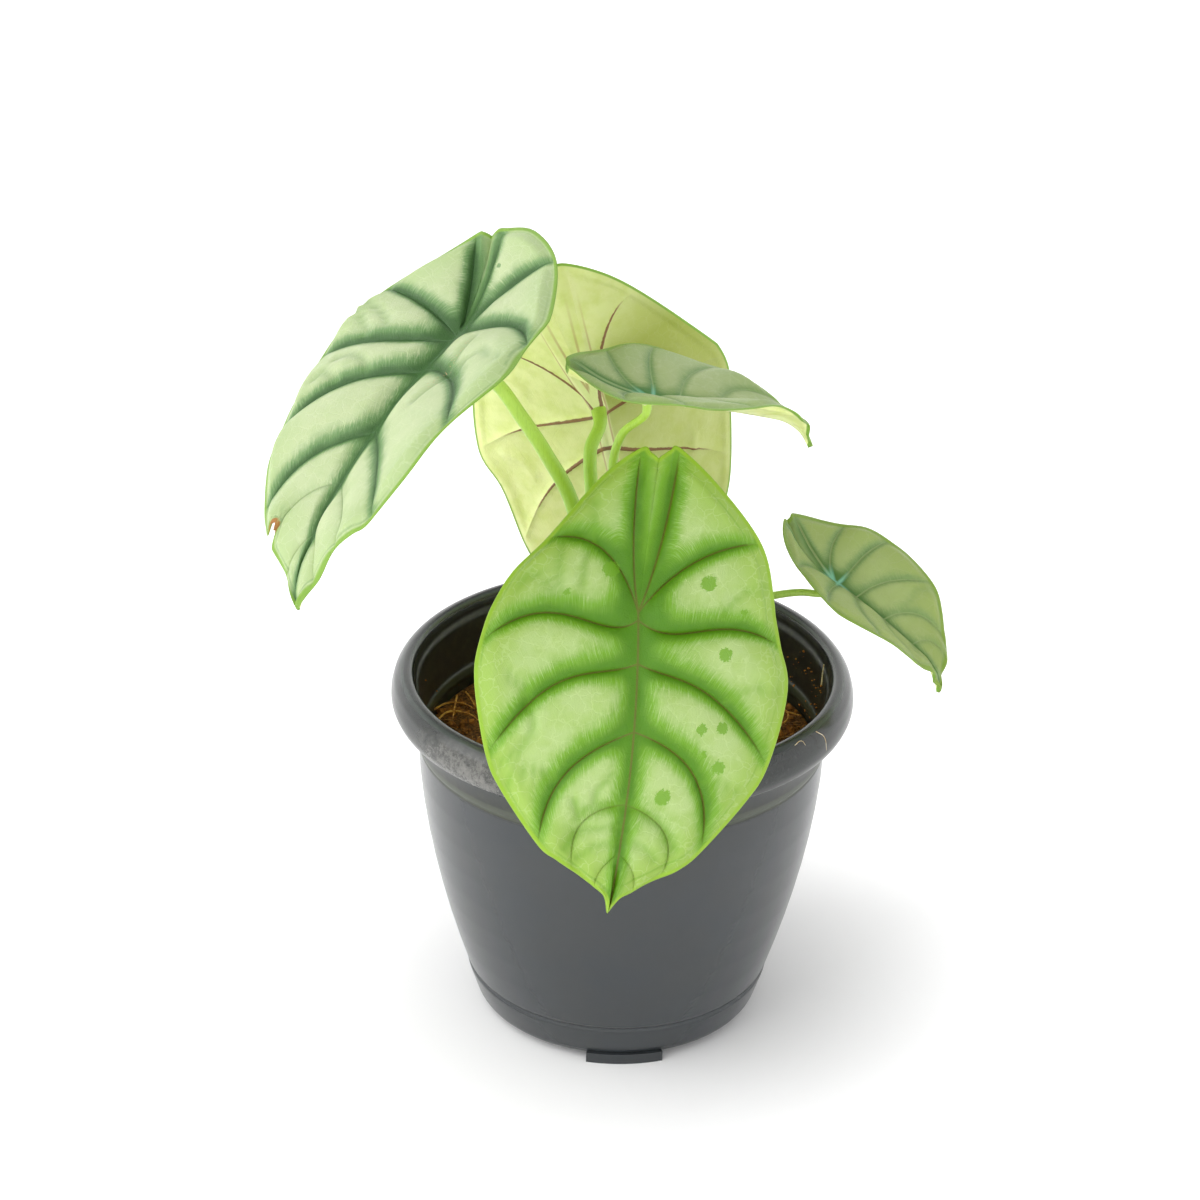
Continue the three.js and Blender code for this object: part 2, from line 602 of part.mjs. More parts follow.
function stalkSolid(name) {
  const path = stalkPath(name);
  const length = path.getLength();
  const { normals, binormals } = path.computeFrenetFrames(STALK.steps, false);
  const [footRadius, topRadius] = STALKS[name].radii;
  const points = [];
  const triangles = [];
  for (let i = 0; i <= STALK.steps; i += 1) {
    const share = i / STALK.steps;
    const centre = path.getPointAt(share);
    const flare = STALK.flare * Math.exp(-(((share * length) / STALK.flareLength) ** 2));
    const radius = THREE.MathUtils.lerp(footRadius, topRadius, share) + flare;
    for (let j = 0; j < STALK.sides; j += 1) {
      const angle = (2 * Math.PI * j) / STALK.sides;
      points.push(centre.clone()
        .addScaledVector(normals[i], radius * Math.cos(angle))
        .addScaledVector(binormals[i], radius * Math.sin(angle)));
      const next = (j + 1) % STALK.sides;
      const [a, b] = [i * STALK.sides + j, i * STALK.sides + next];
      if (i < STALK.steps) triangles.push(a, b, b + STALK.sides, a, b + STALK.sides, a + STALK.sides);
    }
  }
  const top = STALK.steps * STALK.sides;
  for (let j = 1; j + 1 < STALK.sides; j += 1) {
    triangles.push(0, j + 1, j, top, top + j, top + j + 1);
  }
  return closedSolid(indexedGeometry(points, triangles));
}

// Assembly, with the middle of the whole plant's footprint on the axis and its lowest point at Z 0

const plant = new THREE.Group();
plant.add(named('pot', potSolid(), COLOURS.pot, 0.35));
plant.add(named('soil', soilSolid(), COLOURS.soil, 1));
plant.add(named('crown', crownSolid(), COLOURS.crown, 0.55));
for (const name of Object.keys(LEAVES)) {
  plant.add(named(`petiole_${name}`, stalkSolid(name), COLOURS.stalk, 0.45));
  plant.add(named(`blade_${name}`, bladeSolid(LEAVES[name]), LEAVES[name].colour, 0.5));
}
const box = new THREE.Box3().setFromObject(plant, true);
const middle = box.getCenter(new THREE.Vector3());
plant.position.set(-middle.x, -middle.y, -box.min.z);

const group = new THREE.Group();
group.add(plant);

export default group;
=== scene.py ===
"""Potted silver dragon alocasia, dressed around its CAD frame.

Sizes in the tables are millimetres in the pot's own frame: its axis on Z, the floor at Z 0, the
viewer on -Y. point_at() carries them into the shared frame, in metres.
"""

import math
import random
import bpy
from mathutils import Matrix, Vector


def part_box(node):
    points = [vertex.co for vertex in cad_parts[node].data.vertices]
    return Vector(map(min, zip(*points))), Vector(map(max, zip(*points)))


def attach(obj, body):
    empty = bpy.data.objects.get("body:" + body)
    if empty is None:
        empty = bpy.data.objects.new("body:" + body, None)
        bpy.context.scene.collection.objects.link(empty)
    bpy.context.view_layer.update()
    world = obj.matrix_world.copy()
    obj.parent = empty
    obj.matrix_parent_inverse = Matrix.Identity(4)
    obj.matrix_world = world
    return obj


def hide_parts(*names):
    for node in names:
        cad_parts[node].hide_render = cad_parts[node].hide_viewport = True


bl_info = {
    "name": "Potted Silver Dragon Alocasia",
    "version": (1, 0, 0),
    "blender": (4, 5, 0),
    "location": "View3D > Sidebar > Alocasia",
    "description": "Builds the pot, soil, stalks and quilted leaves of a potted alocasia",
    "category": "Add Mesh",
}

import bpy
import numpy as np
from mathutils import Matrix, Vector, noise
from mathutils.bvhtree import BVHTree

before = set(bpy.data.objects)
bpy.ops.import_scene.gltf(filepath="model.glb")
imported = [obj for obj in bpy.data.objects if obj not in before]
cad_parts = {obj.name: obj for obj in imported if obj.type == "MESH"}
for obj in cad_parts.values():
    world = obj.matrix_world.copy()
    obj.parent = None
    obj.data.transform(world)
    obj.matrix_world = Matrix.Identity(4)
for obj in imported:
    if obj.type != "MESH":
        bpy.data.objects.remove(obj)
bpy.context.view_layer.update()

MM = 0.001
POT_LOW, POT_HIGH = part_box("pot")
AXIS = np.array([(POT_LOW.x + POT_HIGH.x) / 2, (POT_LOW.y + POT_HIGH.y) / 2, 0.0])
RIM_RADIUS = (POT_HIGH.x - POT_LOW.x) / 2 / MM
POT_HEIGHT = POT_HIGH.z / MM

# Pot, in millimetres

WALL_FOOT = (45.2, 14.2)
WALL_TOP = (58.8, 85.6)
WALL_BULGE = 1.7
WALL_THICKNESS = 1.7
LIP = 6.6
FLOOR_UNDERSIDE = 5.2
FLOOR_TOP = 6.8
FOOT_TAB = {"count": 3, "width": 30, "first": -86, "inner": 36.8, "outer": 43, "height": 3.2}
DRAIN = {"centre": 5.0, "radius": 3.5, "count": 6, "ring": 26.0}

# Soil and crown

SOIL_LEVEL = 82.6
GOLDEN_ROOTS = [
    [(-55.4, 14.3), (-51.5, 17.5), (-47.4, 18.4), (-43.3, 14.2)],
    [(-46.6, 25.2), (-45.2, 21.5), (-43.4, 16.7)],
    [(-49.1, 23.2), (-49.3, 16.4), (-49.5, 9.1)],
    [(-54.0, 8.0), (-50.5, 12.4), (-45.0, 12.0), (-42.0, 7.5)],
    [(44.0, 22.0), (48.5, 17.0), (52.8, 15.5)],
    [(46.0, 8.0), (49.0, 13.0), (48.0, 20.0)],
]
# radius, then places, of the straw sliver inside the wall and the two fibres on the collar
HAIRS = [
    (0.26, [(57.6, 4.9, 100.2), (57.9, 6.5, 103.4), (58.2, 7.6, 106.0)]),
    (0.12, [(47.6, -43.4, 107.6), (49.4, -42.6, 108.6), (50.6, -42.9, 107.4)]),
    (0.12, [(53.7, -36.6, 108.3), (56.0, -36.4, 106.6), (56.9, -36.9, 102.6)]),
]
SOIL_BUMP = 1.1
SPECK_RADIUS = 57.3
SOIL_FOOT = [(0, 7.2), (39.9, 7.2), (41.3, 9.0)]
CRUMB_REACH = 56.0
FIBRE_REACH = 54.0
CROWN_TOP = 92.0
CROWN_RADIUS = 10.4
CROWN_OUTLINE = [(0, 62), (6.4, 62), (9.4, 68), (CROWN_RADIUS, 76), (10.2, 84), (10.0, 88.5),
                 (9.4, 91.2), (7.6, 93.0), (4.0, 93.4), (0, 93.2)]

# Half a blade, flat, as (across, along) from the joint of its stalk, the tip along +. Lines: the
# back line to the notch, the lobe's vein, six side veins, the tip. Each has its root on the
# midrib, a point halfway out and its end on the margin, with one more margin point between.
# sags is how far each line dips toward the tip near the midrib.

PANELS = 8
SAG_PEAK = 9.5
DRIFT_END = (0.25, 0.75)
TIP_CURL_FROM = 0.72
MARGIN_WAVE = 0.7
FULL_PANEL_WIDTH = 14.0

PLAIN_ROOTS = [0, 0, 0, 2, 13.8, 32, 51.5, 64.5, 81]
LEFT_ROOTS = [0, 0, 0, 0, 14.5, 39, 58, 74, 95]
PLAIN_HALF = {
    "halfway": [(0, -21), (3.9, -20.5), (12.5, -14), (20, 2), (18.8, 19.8), (15.5, 42.5),
                (9.3, 57.5), (3.4, 70), (0, 81)],
    "margin": [(0, -43), (2.8, -44.6), (5.6, -45.6), (16, -36.8), (29, -20.5), (37, -7.5),
               (41, 8), (41.6, 20), (36.4, 38.5), (28.6, 50), (17.6, 61.4), (12.2, 66),
               (8.4, 69.2), (5.6, 72), (3.6, 74.6), (1.7, 77.4), (0, 81)],
    "sags": [0, 0, 0, 1.5, 1, 0, 0, 0, 0],
}
FRONT_MINUS = {
    "halfway": [(0, -21), (3.9, -20.5), (13.5, -14), (20, 1.5), (17.5, 19.2), (17, 43),
                (11.6, 59.5), (4.6, 70), (0, 81)],
    "margin": [(0, -42.1), (3, -44.5), (5.5, -45.3), (17, -35.6), (31, -19.7), (36.7, -5),
               (39.5, 8), (41.4, 20), (37.3, 41), (32.5, 51), (22, 64.5), (16.5, 69),
               (12.3, 71.2), (8.5, 73.2), (5.2, 75), (2.2, 76.8), (0, 81)],
    "sags": [0, 0, 0, 4.8, 2.5, 0.5, 0, 0, 0],
}
FRONT_PLUS = {
    "halfway": [(0, -21), (3.9, -20.5), (11.9, -17.3), (20, -3.1), (19.5, 16.2), (17.2, 43),
                (11.2, 56.5), (4.1, 69), (0, 81)],
    "margin": [(0, -42.1), (2.4, -43.8), (5, -45.2), (14.5, -37.4), (27, -20.3), (36.5, -9.2),
               (42.6, 7.5), (43.2, 19.5), (38.8, 38.5), (33.3, 48.8), (22, 62.5), (16.5, 66.2),
               (11.8, 69.2), (8.2, 71.6), (5, 73.6), (1.8, 76.2), (0, 81)],
    "sags": [0, 0, 0, 6, 3.5, 0.5, 0, 0, 0],
}
BACK_MINUS = {
    "halfway": [(0, -21), (3.9, -20.5), (12, -15.5), (20, 7), (18.5, 27), (17, 48),
                (11.5, 60), (4.3, 69.8), (0, 81)],
    "margin": [(0, -43), (2.8, -44.6), (5.6, -45.6), (16, -36.8), (28.5, -19.5), (39, -3),
               (42.6, 19.5), (38.3, 32), (35, 50), (29.5, 60), (22.5, 65.4), (17, 69),
               (12.3, 71.6), (8.6, 73.6), (5.4, 75.4), (2.3, 77.3), (0, 81)],
    "sags": [0, 0, 0, 2, 1, 0, 0, 0, 0],
}
BACK_PLUS = {
    "halfway": [(0, -21), (3.9, -20.5), (11.6, -22.6), (20, 0.5), (19.3, 23.5), (17, 43),
                (11.5, 57.5), (4.3, 69.3), (0, 81)],
    "margin": [(0, -43), (3.5, -45.6), (8.5, -46.8), (17.5, -40.5), (25.5, -30.5), (33.9, -15),
               (41.5, 4), (42.3, 16), (38.9, 37), (33.4, 49), (21.4, 63.4), (16, 67.4),
               (11.7, 70.2), (8.2, 72.4), (5.2, 74.4), (2.2, 76.6), (0, 81)],
    "sags": [0, 0, 0, 1, 2, 0, 0, 0, 0],
}
LEFT_MINUS = {
    "halfway": [(0, -18), (3, -19), (12.5, -17), (20, -2.5), (22, 24.5), (17, 56),
                (12, 70.5), (5, 81.5), (0, 95)],
    "margin": [(0, -36.2), (2.6, -37.3), (5.4, -38.4), (17, -38), (29, -28), (36.2, -8),
               (39.8, 11), (44.8, 26.5), (39.5, 45), (36, 59), (28, 72.6), (23, 76.2),
               (16.2, 80.3), (11, 85), (7.2, 89), (4.6, 92.3), (0, 95)],
    "sags": [0, 0, 0, 2, 0, 0, 0, 0, 0],
}
LEFT_PLUS = {
    "halfway": [(0, -18), (3, -18), (18, -9), (22, 7.4), (18.5, 23.4), (15, 51),
                (10.5, 66), (4.3, 80.5), (0, 95)],
    "margin": [(0, -36.2), (2.2, -36.4), (4.6, -35.6), (14, -28), (31.5, -12.2), (40.6, 0.5),
               (41.3, 15), (38.4, 31), (33.2, 44.4), (31, 56), (23.5, 70), (18.3, 75.7),
               (13.8, 80.2), (9.8, 83.8), (6, 87.2), (2.4, 91.4), (0, 95)],
    "sags": [0, 0, 0, 2.5, 2.5, 1, 0, 0, 0],
}

# Blades: place and bend in millimetres and degrees. Pairs are (minus side, plus side).
# halves are the flat nets, moved near the midrib by drift; scale is (across, tip, lobe).
# halo is the reach of the green beside a vein and strengths how clear each line's is; rim is
# how far inside the margin the fine line runs. creases are valleys between the main veins,
# scars worn spots and dust crumbs, all in flat places. Underside shades are painted shade: how
# olive the underside is where it turns away from the light, at every half line. bite is a
# notch in the margin: side, line, half width, share of the line.

LEAVES = {
    "left": {
        "joint": (-46.8, -4, 209.8), "heading": -126.3, "dip": 18.5, "roll": -11.5,
        "fold": (10.8, 16.1), "curl": (0.5, -28.4), "tip_bend": 21.2, "lobe_bend": 31.9,
        "tip_curl": 18.6, "twist": -12.6, "tip_sway": -9.5, "lobe_sway": 12.2,
        "tip": 95.0, "lobe": 38.9, "half": 42.0, "roots": LEFT_ROOTS,
        "halves": (LEFT_MINUS, LEFT_PLUS), "large": True, "halo": 3.9, "drift": (-1.5, 1.1),
        "strengths": (1, 1, 1, 1, 1, 0.9, 0.22, 0.06, 0), "rim": (1.6, 1.6),
        "creases": [
            [(34.4, -4), (29.2, -2), (21.6, 3.2)], [(38.4, 0), (34, 1.2), (26.4, 7.2)],
            [(29.2, 18.8), (25.2, 16.8), (19.2, 18), (15.2, 20.4)],
            [(31.2, 26.4), (30, 24), (23.2, 26)],
            [(-14.8, 33.6), (-16.4, 24), (-15.6, 12.4), (-15.2, 6)],
            [(-21.6, 22), (-21.6, 16.8), (-25.6, 14), (-37.2, 18.8)],
        ],
        "scars": [(-8.8, -24.8, 1.1)],
        "dust": [[(-15, 25), (-16, 16), (-15.5, 8)]],
        "bite": {"side": 1, "line": 5.86, "reach": 0.19, "depth": 0.135},
    },
    "back": {
        "joint": (-8.4, 24, 178), "heading": 56.7, "dip": 69.2, "roll": 34.9,
        "fold": (19.3, 24), "curl": (11.3, 11.3), "tip_bend": 21.1, "lobe_bend": 14.1,
        "tip_curl": 0, "twist": 4.3, "tip_sway": 0, "lobe_sway": -9,
        "tip": 81.0, "lobe": 46.0, "half": 42.0, "roots": PLAIN_ROOTS,
        "halves": (BACK_MINUS, BACK_PLUS), "large": True, "halo": 4.2, "quilt": 0.3,
        "strengths": (1, 1, 1, 1, 1, 1, 0.6, 0.3, 0), "rim": (2.2, 2.2),
        "creases": [
            [(30, -9), (27, -5), (21, -1)], [(33, 22), (28, 23), (26, 28)],
            [(-34, 20), (-29, 22), (-26, 27)], [(-28, -12), (-24, -8), (-22, -2)],
            [(30, 42), (26, 43), (22, 47)],
        ],
        # Painted shade: how olive the underside is where it turns away from the light.
        "painted_shades": (0.1, 0.1, 0.25, 0.3, 0.45, 1, 0.85, 0.6, 0.5, 0.5, 0.4, *[0.3] * 5),
    },
    "upper": {
        "joint": (5.3, -8, 194.8), "heading": 10.6, "dip": 8.7, "roll": 2.8,
        "fold": (24.3, 21), "curl": (-14.9, -14.9), "tip_bend": 8.7, "lobe_bend": 31,
        "tip_curl": 56.3, "twist": 14.4, "tip_sway": 0, "lobe_sway": 0,
        "tip": 51.0, "lobe": 26.5, "half": 25.7, "roots": PLAIN_ROOTS,
        "halves": (PLAIN_HALF, PLAIN_HALF), "scale": (0.61, 0.63, 0.56), "large": False,
        "strengths": (1, 0.8, 0.8, 0.8, 0.7, 0.6, 0.4, 0.2, 0), "rim": (1.2, 1.2),
        "halo": 2.4,
    },
    "front": {
        "joint": (3.8, -44, 147.5), "heading": -87.4, "dip": 52, "roll": 3,
        "fold": (0, 0), "curl": (-14, -14), "tip_bend": 24, "lobe_bend": 4,
        "tip_curl": 0, "twist": 0, "tip_sway": 7.2, "lobe_sway": -6.3,
        "tip": 81.0, "lobe": 46.0, "half": 44.0, "roots": PLAIN_ROOTS,
        "halves": (FRONT_MINUS, FRONT_PLUS), "large": True, "halo": 5.2,
        "strengths": (1, 1, 1, 1, 1, 1, 0.35, 0.12, 0), "rim": (3.0, 1.5),
        "creases": [
            [(16, -7.2), (16, -12.4), (14.8, -20), (15.6, -30.8)],
            [(21.2, -2.4), (22.8, -13.2), (22.4, -21.2)],
            [(32.8, -7.6), (30, -10.8), (25.2, -8), (22.4, -2.4)],
            [(22.4, -21.2), (14.8, -20.8)],
            [(-22.8, 0.8), (-25.2, -3.6), (-29.2, -6.8), (-33.6, -7.2)],
            [(-24, 23.6), (-27.6, 21.2), (-32.4, 20), (-37.6, 21.2)],
            [(-19.6, 45.6), (-24, 45.2), (-28.8, 48)],
            [(33.6, 17.6), (29.6, 20.4), (28.8, 24)],
            [(28, 25.2), (26.4, 31.2), (30.4, 37.6), (34.4, 40.4)],
            [(32.4, 46), (28.4, 42.4), (23.6, 42.4), (20.4, 44.4)],
            [(4.8, 43.2), (8.4, 47.6), (8.4, 51.2), (1, 51.2)],
            [(14, 50.4), (12.4, 54), (10.4, 52.4), (2, 51.6)],
            [(14.8, 63.2), (12.8, 58.8), (5.6, 57.6), (1.2, 57.2)],
            [(10.8, 66), (7.2, 62.4), (0.4, 61.2)],
            [(-2, 52.4), (-8.4, 55.2), (-12.4, 59.6), (-14.4, 63.2)],
            [(-2, 60.4), (-6.8, 63.2), (-9.6, 66)],
        ],
        "scars": [
            (8.8, -11.6, 2.6), (19.6, -5.6, 1.3), (-17.6, -8, 2.5), (-23.2, 11.2, 2.1),
            (-17.6, 31.2, 1.7), (-23.2, 30.8, 1.9), (-19.2, 37.6, 1.2), (-23.2, 41.2, 2.2),
            (-9.2, 49.2, 2.4), (-28.4, -0.4, 1.2),
        ],
    },
    "right": {
        "joint": (59.4, 3, 134.8), "heading": -26, "dip": 26.7, "roll": 3.8,
        "fold": (30.8, 18.9), "curl": (-7.2, -7.2), "tip_bend": 10, "lobe_bend": 35.8,
        "tip_curl": 49.6, "twist": 3.3, "tip_sway": 0, "lobe_sway": 0,
        "tip": 44.4, "lobe": 23.4, "half": 23.7, "roots": PLAIN_ROOTS,
        "halves": (PLAIN_HALF, PLAIN_HALF), "scale": (0.565, 0.548, 0.51), "large": False,
        "strengths": (1, 0.8, 0.8, 0.8, 0.7, 0.6, 0.4, 0.2, 0), "rim": (1.1, 1.1),
        "halo": 2.3,
        "creases": [[(-7.2, 19), (-10.8, 19.6), (-14.4, 18.8), (-18.8, 22)]],
        "scars": [(-16.4, 14.8, 1.0)],
    },
}

# Stalks: foot on the crown, points on the way up, radius at the foot and at the blade, and how
# far below the blade the stalk turns to meet it

STALKS = {
    "left": {"foot": (-7.2, -0.6), "way": [(-10.2, 0.4, 132), (-15.2, 0, 159.2), (-22.8, -1, 175),
             (-29.7, -2, 186.4), (-35.5, -3, 195.3)], "radii": (2.5, 1.85), "lead": 4},
    "back": {"foot": (-3.2, 6.6), "way": [(-7.2, 8.4, 130), (-9.8, 10.4, 158), (-10.4, 12.4, 170)],
             "radii": (2.4, 1.8), "lead": 5},
    "upper": {"foot": (0.4, 0.6), "way": [(-2.4, -0.6, 135), (-3.9, -3, 172), (-1.4, -5.4, 183)],
              "radii": (1.9, 1.1), "lead": 2},
    "front": {"foot": (0.8, -7.2), "way": [(1.2, -10.5, 113), (2, -20.5, 131)],
              "radii": (2.3, 1.6), "lead": 8},
    "right": {"foot": (7.2, 0.2), "way": [(11, 2.4, 107), (20, 3.6, 119.5), (32, 3.2, 126.8),
              (42.6, 3, 130.2), (50, 3, 131.4)], "radii": (1.6, 0.95), "lead": 1.4},
}
STALK_FLARE = (0.9, 10.0)
EDGE_ROUND = 0.28

# Studio, in millimetres and degrees

CAMERA = {"place": (0.0, -760.95, 511.46), "pitch": 26.68, "turn": 0.517, "roll": 1.012}
KEY_LIGHT = {"place": (-900, -420, 1000), "target": (0, 0, 100), "side": 1.5}
FLOOR_OUTLINE = [(0, 0), (1200, 0), (1900, 0), (2150, 60), (2330, 240), (2400, 500),
                 (2400, 1900)]
FLOOR_GLOW = {"start": 40.0, "full": 145.0, "colour": (0.36, 0.36, 0.36)}

# Material slot and colours of each blade's upper face, as hexadecimal screen colours

PALETTES = {
    "left": {"slot": "blade_silver", "panel": "b6c496", "outer": "a8bc84", "halo": "648a50",
             "deep": "365c28", "vein": "44683a", "margin": "7ca23c", "streak": "ccd6ae"},
    "back": {"slot": "blade_pale", "panel": "b4cb7c", "outer": "9dbd5c", "halo": "74a138",
             "deep": "487a0e", "vein": "5b6020", "margin": "8cb43c", "streak": "cfe09c"},
    "upper": {"slot": "blade_grey", "panel": "a3b37a", "outer": "96ab6c", "halo": "7f9a5c",
              "deep": "4f7f42", "vein": "9db57c", "margin": "86a850", "streak": "bcc898"},
    "front": {"slot": "blade_green", "panel": "a8c07a", "outer": "92b24c", "halo": "6a9c1e",
              "deep": "4a7e02", "vein": "636620", "margin": "8cb22e", "streak": "c6d89c"},
    "right": {"slot": "blade_grey", "panel": "a2b470", "outer": "95a85c", "halo": "7c9858",
              "deep": "4c7530", "vein": "98aa6e", "margin": "7f9c3c", "streak": "a9b67e"},
}


# Settings shown in the sidebar

class AlocasiaPot(bpy.types.PropertyGroup):
    """Moulded nursery pot."""
    sides: bpy.props.IntProperty(
        name="Sides", description="Faces round the pot", default=160, min=24)
    colour: bpy.props.FloatVectorProperty(
        name="Plastic", description="Colour of the dark plastic", subtype="COLOR",
        default=(0.030, 0.034, 0.036))
    # The pale colour of the painted glare on the collar's front left, and of the dust below the
    # collar.
    glare_and_dust_colour: bpy.props.FloatVectorProperty(
        name="Glare_and_Dust", description="Colour of the pale glare on the collar", subtype="COLOR",
        default=(0.52, 0.50, 0.46))


class AlocasiaSoil(bpy.types.PropertyGroup):
    """Coir and bark potting mix with what lies on it."""
    crumbs: bpy.props.IntProperty(
        name="Crumbs", description="Loose crumbs on the soil", default=1900, min=0)
    fibres: bpy.props.IntProperty(
        name="Fibres", description="Loose coir fibres on the soil", default=170, min=0)
    seed: bpy.props.IntProperty(
        name="Seed", description="Start of every random draw", default=7)


class AlocasiaPlant(bpy.types.PropertyGroup):
    """Leaf blades and stalks."""
    quilting: bpy.props.FloatProperty(
        name="Quilting", description="Height of a full panel between veins, in mm",
        default=2.8, min=0)
    blade_thickness: bpy.props.FloatProperty(
        name="Blade Thickness", description="Thickness at the midrib, in mm", default=0.9, min=0.3)
    columns: bpy.props.IntProperty(
        name="Columns", description="Faces across one panel of a large blade", default=18, min=4)
    rows: bpy.props.IntProperty(
        name="Rows", description="Faces from midrib to margin of a large blade", default=52, min=8)


class AlocasiaStudio(bpy.types.PropertyGroup):
    """Floor, light and camera."""
    floor_colour: bpy.props.FloatVectorProperty(
        name="Floor", description="Colour of the seamless floor", subtype="COLOR",
        default=(0.95, 0.95, 0.95))
    sky_strength: bpy.props.FloatProperty(
        name="Fill", description="Strength of the even white light", default=0.53, min=0)
    key_power: bpy.props.FloatProperty(
        name="Key Light", description="Power of the large light at the left",
        default=14.0, min=0, unit="POWER")
    lens: bpy.props.FloatProperty(
        name="Lens", description="Focal length of the camera", default=90.0, unit="CAMERA")


SETTINGS = {
    "alocasia_pot": AlocasiaPot,
    "alocasia_soil": AlocasiaSoil,
    "alocasia_plant": AlocasiaPlant,
    "alocasia_studio": AlocasiaStudio,
}


# Shared helpers

def point_at(points):
    """Millimetres in the pot's frame to metres in the shared frame."""
    return np.asarray(points, float) * MM + AXIS


def smoothstep(value, low, high):
    share = np.clip((value - low) / (high - low), 0, 1)
    return share * share * (3 - 2 * share)


def colour_of(hexadecimal):
    """Linear colour of a hexadecimal screen colour."""
    screen = [int(hexadecimal[i:i + 2], 16) / 255 for i in (0, 2, 4)]
    return tuple(c / 12.92 if c <= 0.04045 else ((c + 0.055) / 1.055) ** 2.4 for c in screen)


def clear_selection():
    if bpy.context.mode != "OBJECT":
        bpy.ops.object.mode_set(mode="OBJECT")
    bpy.ops.object.select_all(action="DESELECT")


def select_only(piece):
    clear_selection()
    piece.select_set(True)
    bpy.context.view_layer.objects.active = piece


def mesh_piece(name, points, faces):
    """A new object from points in metres in the shared frame."""
    mesh = bpy.data.meshes.new(name)
    mesh.from_pydata([tuple(p) for p in points], [], faces)
    mesh.update()
    piece = bpy.data.objects.new(name, mesh)
    bpy.context.scene.collection.objects.link(piece)
    return piece


def paint(piece, name, values):
    """Keeps one number, or one place, per point for the materials."""
    values = np.asarray(values, np.float32)
    kind = "FLOAT" if values.ndim == 1 else "FLOAT_VECTOR"
    layer = piece.data.attributes.new(name, kind, "POINT")
    layer.data.foreach_set("value" if values.ndim == 1 else "vector", values.ravel())


def finish_piece(piece, name, slot, material, replaced=()):
    """Names a piece, gives it its finish and ties it to the frame."""
    piece.name = name
    piece.data.name = name
    piece.data.materials.clear()
    piece.data.materials.append(material)
    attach(piece, "root")
    if replaced:
        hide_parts(*replaced)


def smooth_shaded(piece, angle=None):
    select_only(piece)
    if angle is None:
        bpy.ops.object.shade_smooth()
    else:
        bpy.ops.object.shade_smooth_by_angle(angle=math.radians(angle))


def apply_modifier(piece, kind, **settings):
    select_only(piece)
    modifier = piece.modifiers.new(kind.title(), kind)
    for key, value in settings.items():
        setattr(modifier, key, value)
    bpy.ops.object.modifier_apply(modifier=modifier.name)


def rounded(profile, radius, steps=3):
    """Rounds the corners of an open outline over no more than radius on each side of them."""
    profile = [np.array(place, float) for place in profile]
    soft = [profile[0]]
    for before, here, after in zip(profile, profile[1:], profile[2:]):
        back, ahead = before - here, after - here
        start = here + back * min(radius / max(np.linalg.norm(back), 1e-9), 0.46)
        end = here + ahead * min(radius / max(np.linalg.norm(ahead), 1e-9), 0.46)
        for t in np.linspace(0, 1, steps + 1):
            soft.append(start * (1 - t) ** 2 + here * 2 * t * (1 - t) + end * t ** 2)
    return [(float(r), float(z)) for r, z in soft + [profile[-1]]]


def spun(name, profile, sides, turn=360.0, start=0.0):
    """Extrudes an outline of (radius, height) from one point and spins it round the pot's axis."""
    clear_selection()
    bpy.ops.mesh.primitive_plane_add(size=MM, location=(0, 0, 0))
    piece = bpy.context.active_object
    bpy.ops.object.mode_set(mode="EDIT")
    bpy.ops.mesh.select_all(action="SELECT")
    bpy.ops.mesh.merge(type="CENTER")
    angle = math.radians(start)
    places = [Vector(point_at((r * math.cos(angle), r * math.sin(angle), z))) for r, z in profile]
    bpy.ops.transform.translate(value=places[0])
    for here, there in zip(places, places[1:]):
        bpy.ops.mesh.extrude_region_move(TRANSFORM_OT_translate={"value": there - here})
    bpy.ops.mesh.select_all(action="SELECT")
    bpy.ops.mesh.spin(steps=sides, angle=math.radians(turn), center=tuple(AXIS), axis=(0, 0, 1))
    bpy.ops.mesh.select_all(action="SELECT")
    bpy.ops.mesh.remove_doubles(threshold=1e-6)
    bpy.ops.mesh.normals_make_consistent(inside=False)
    bpy.ops.object.mode_set(mode="OBJECT")
    piece.name = name
    return piece


def cut_with(piece, tool, operation):
    """Joins or cuts a piece with another solid, which is used up."""
    apply_modifier(piece, "BOOLEAN", object=tool, operation=operation, solver="EXACT")
    bpy.data.objects.remove(tool)


# Shader building

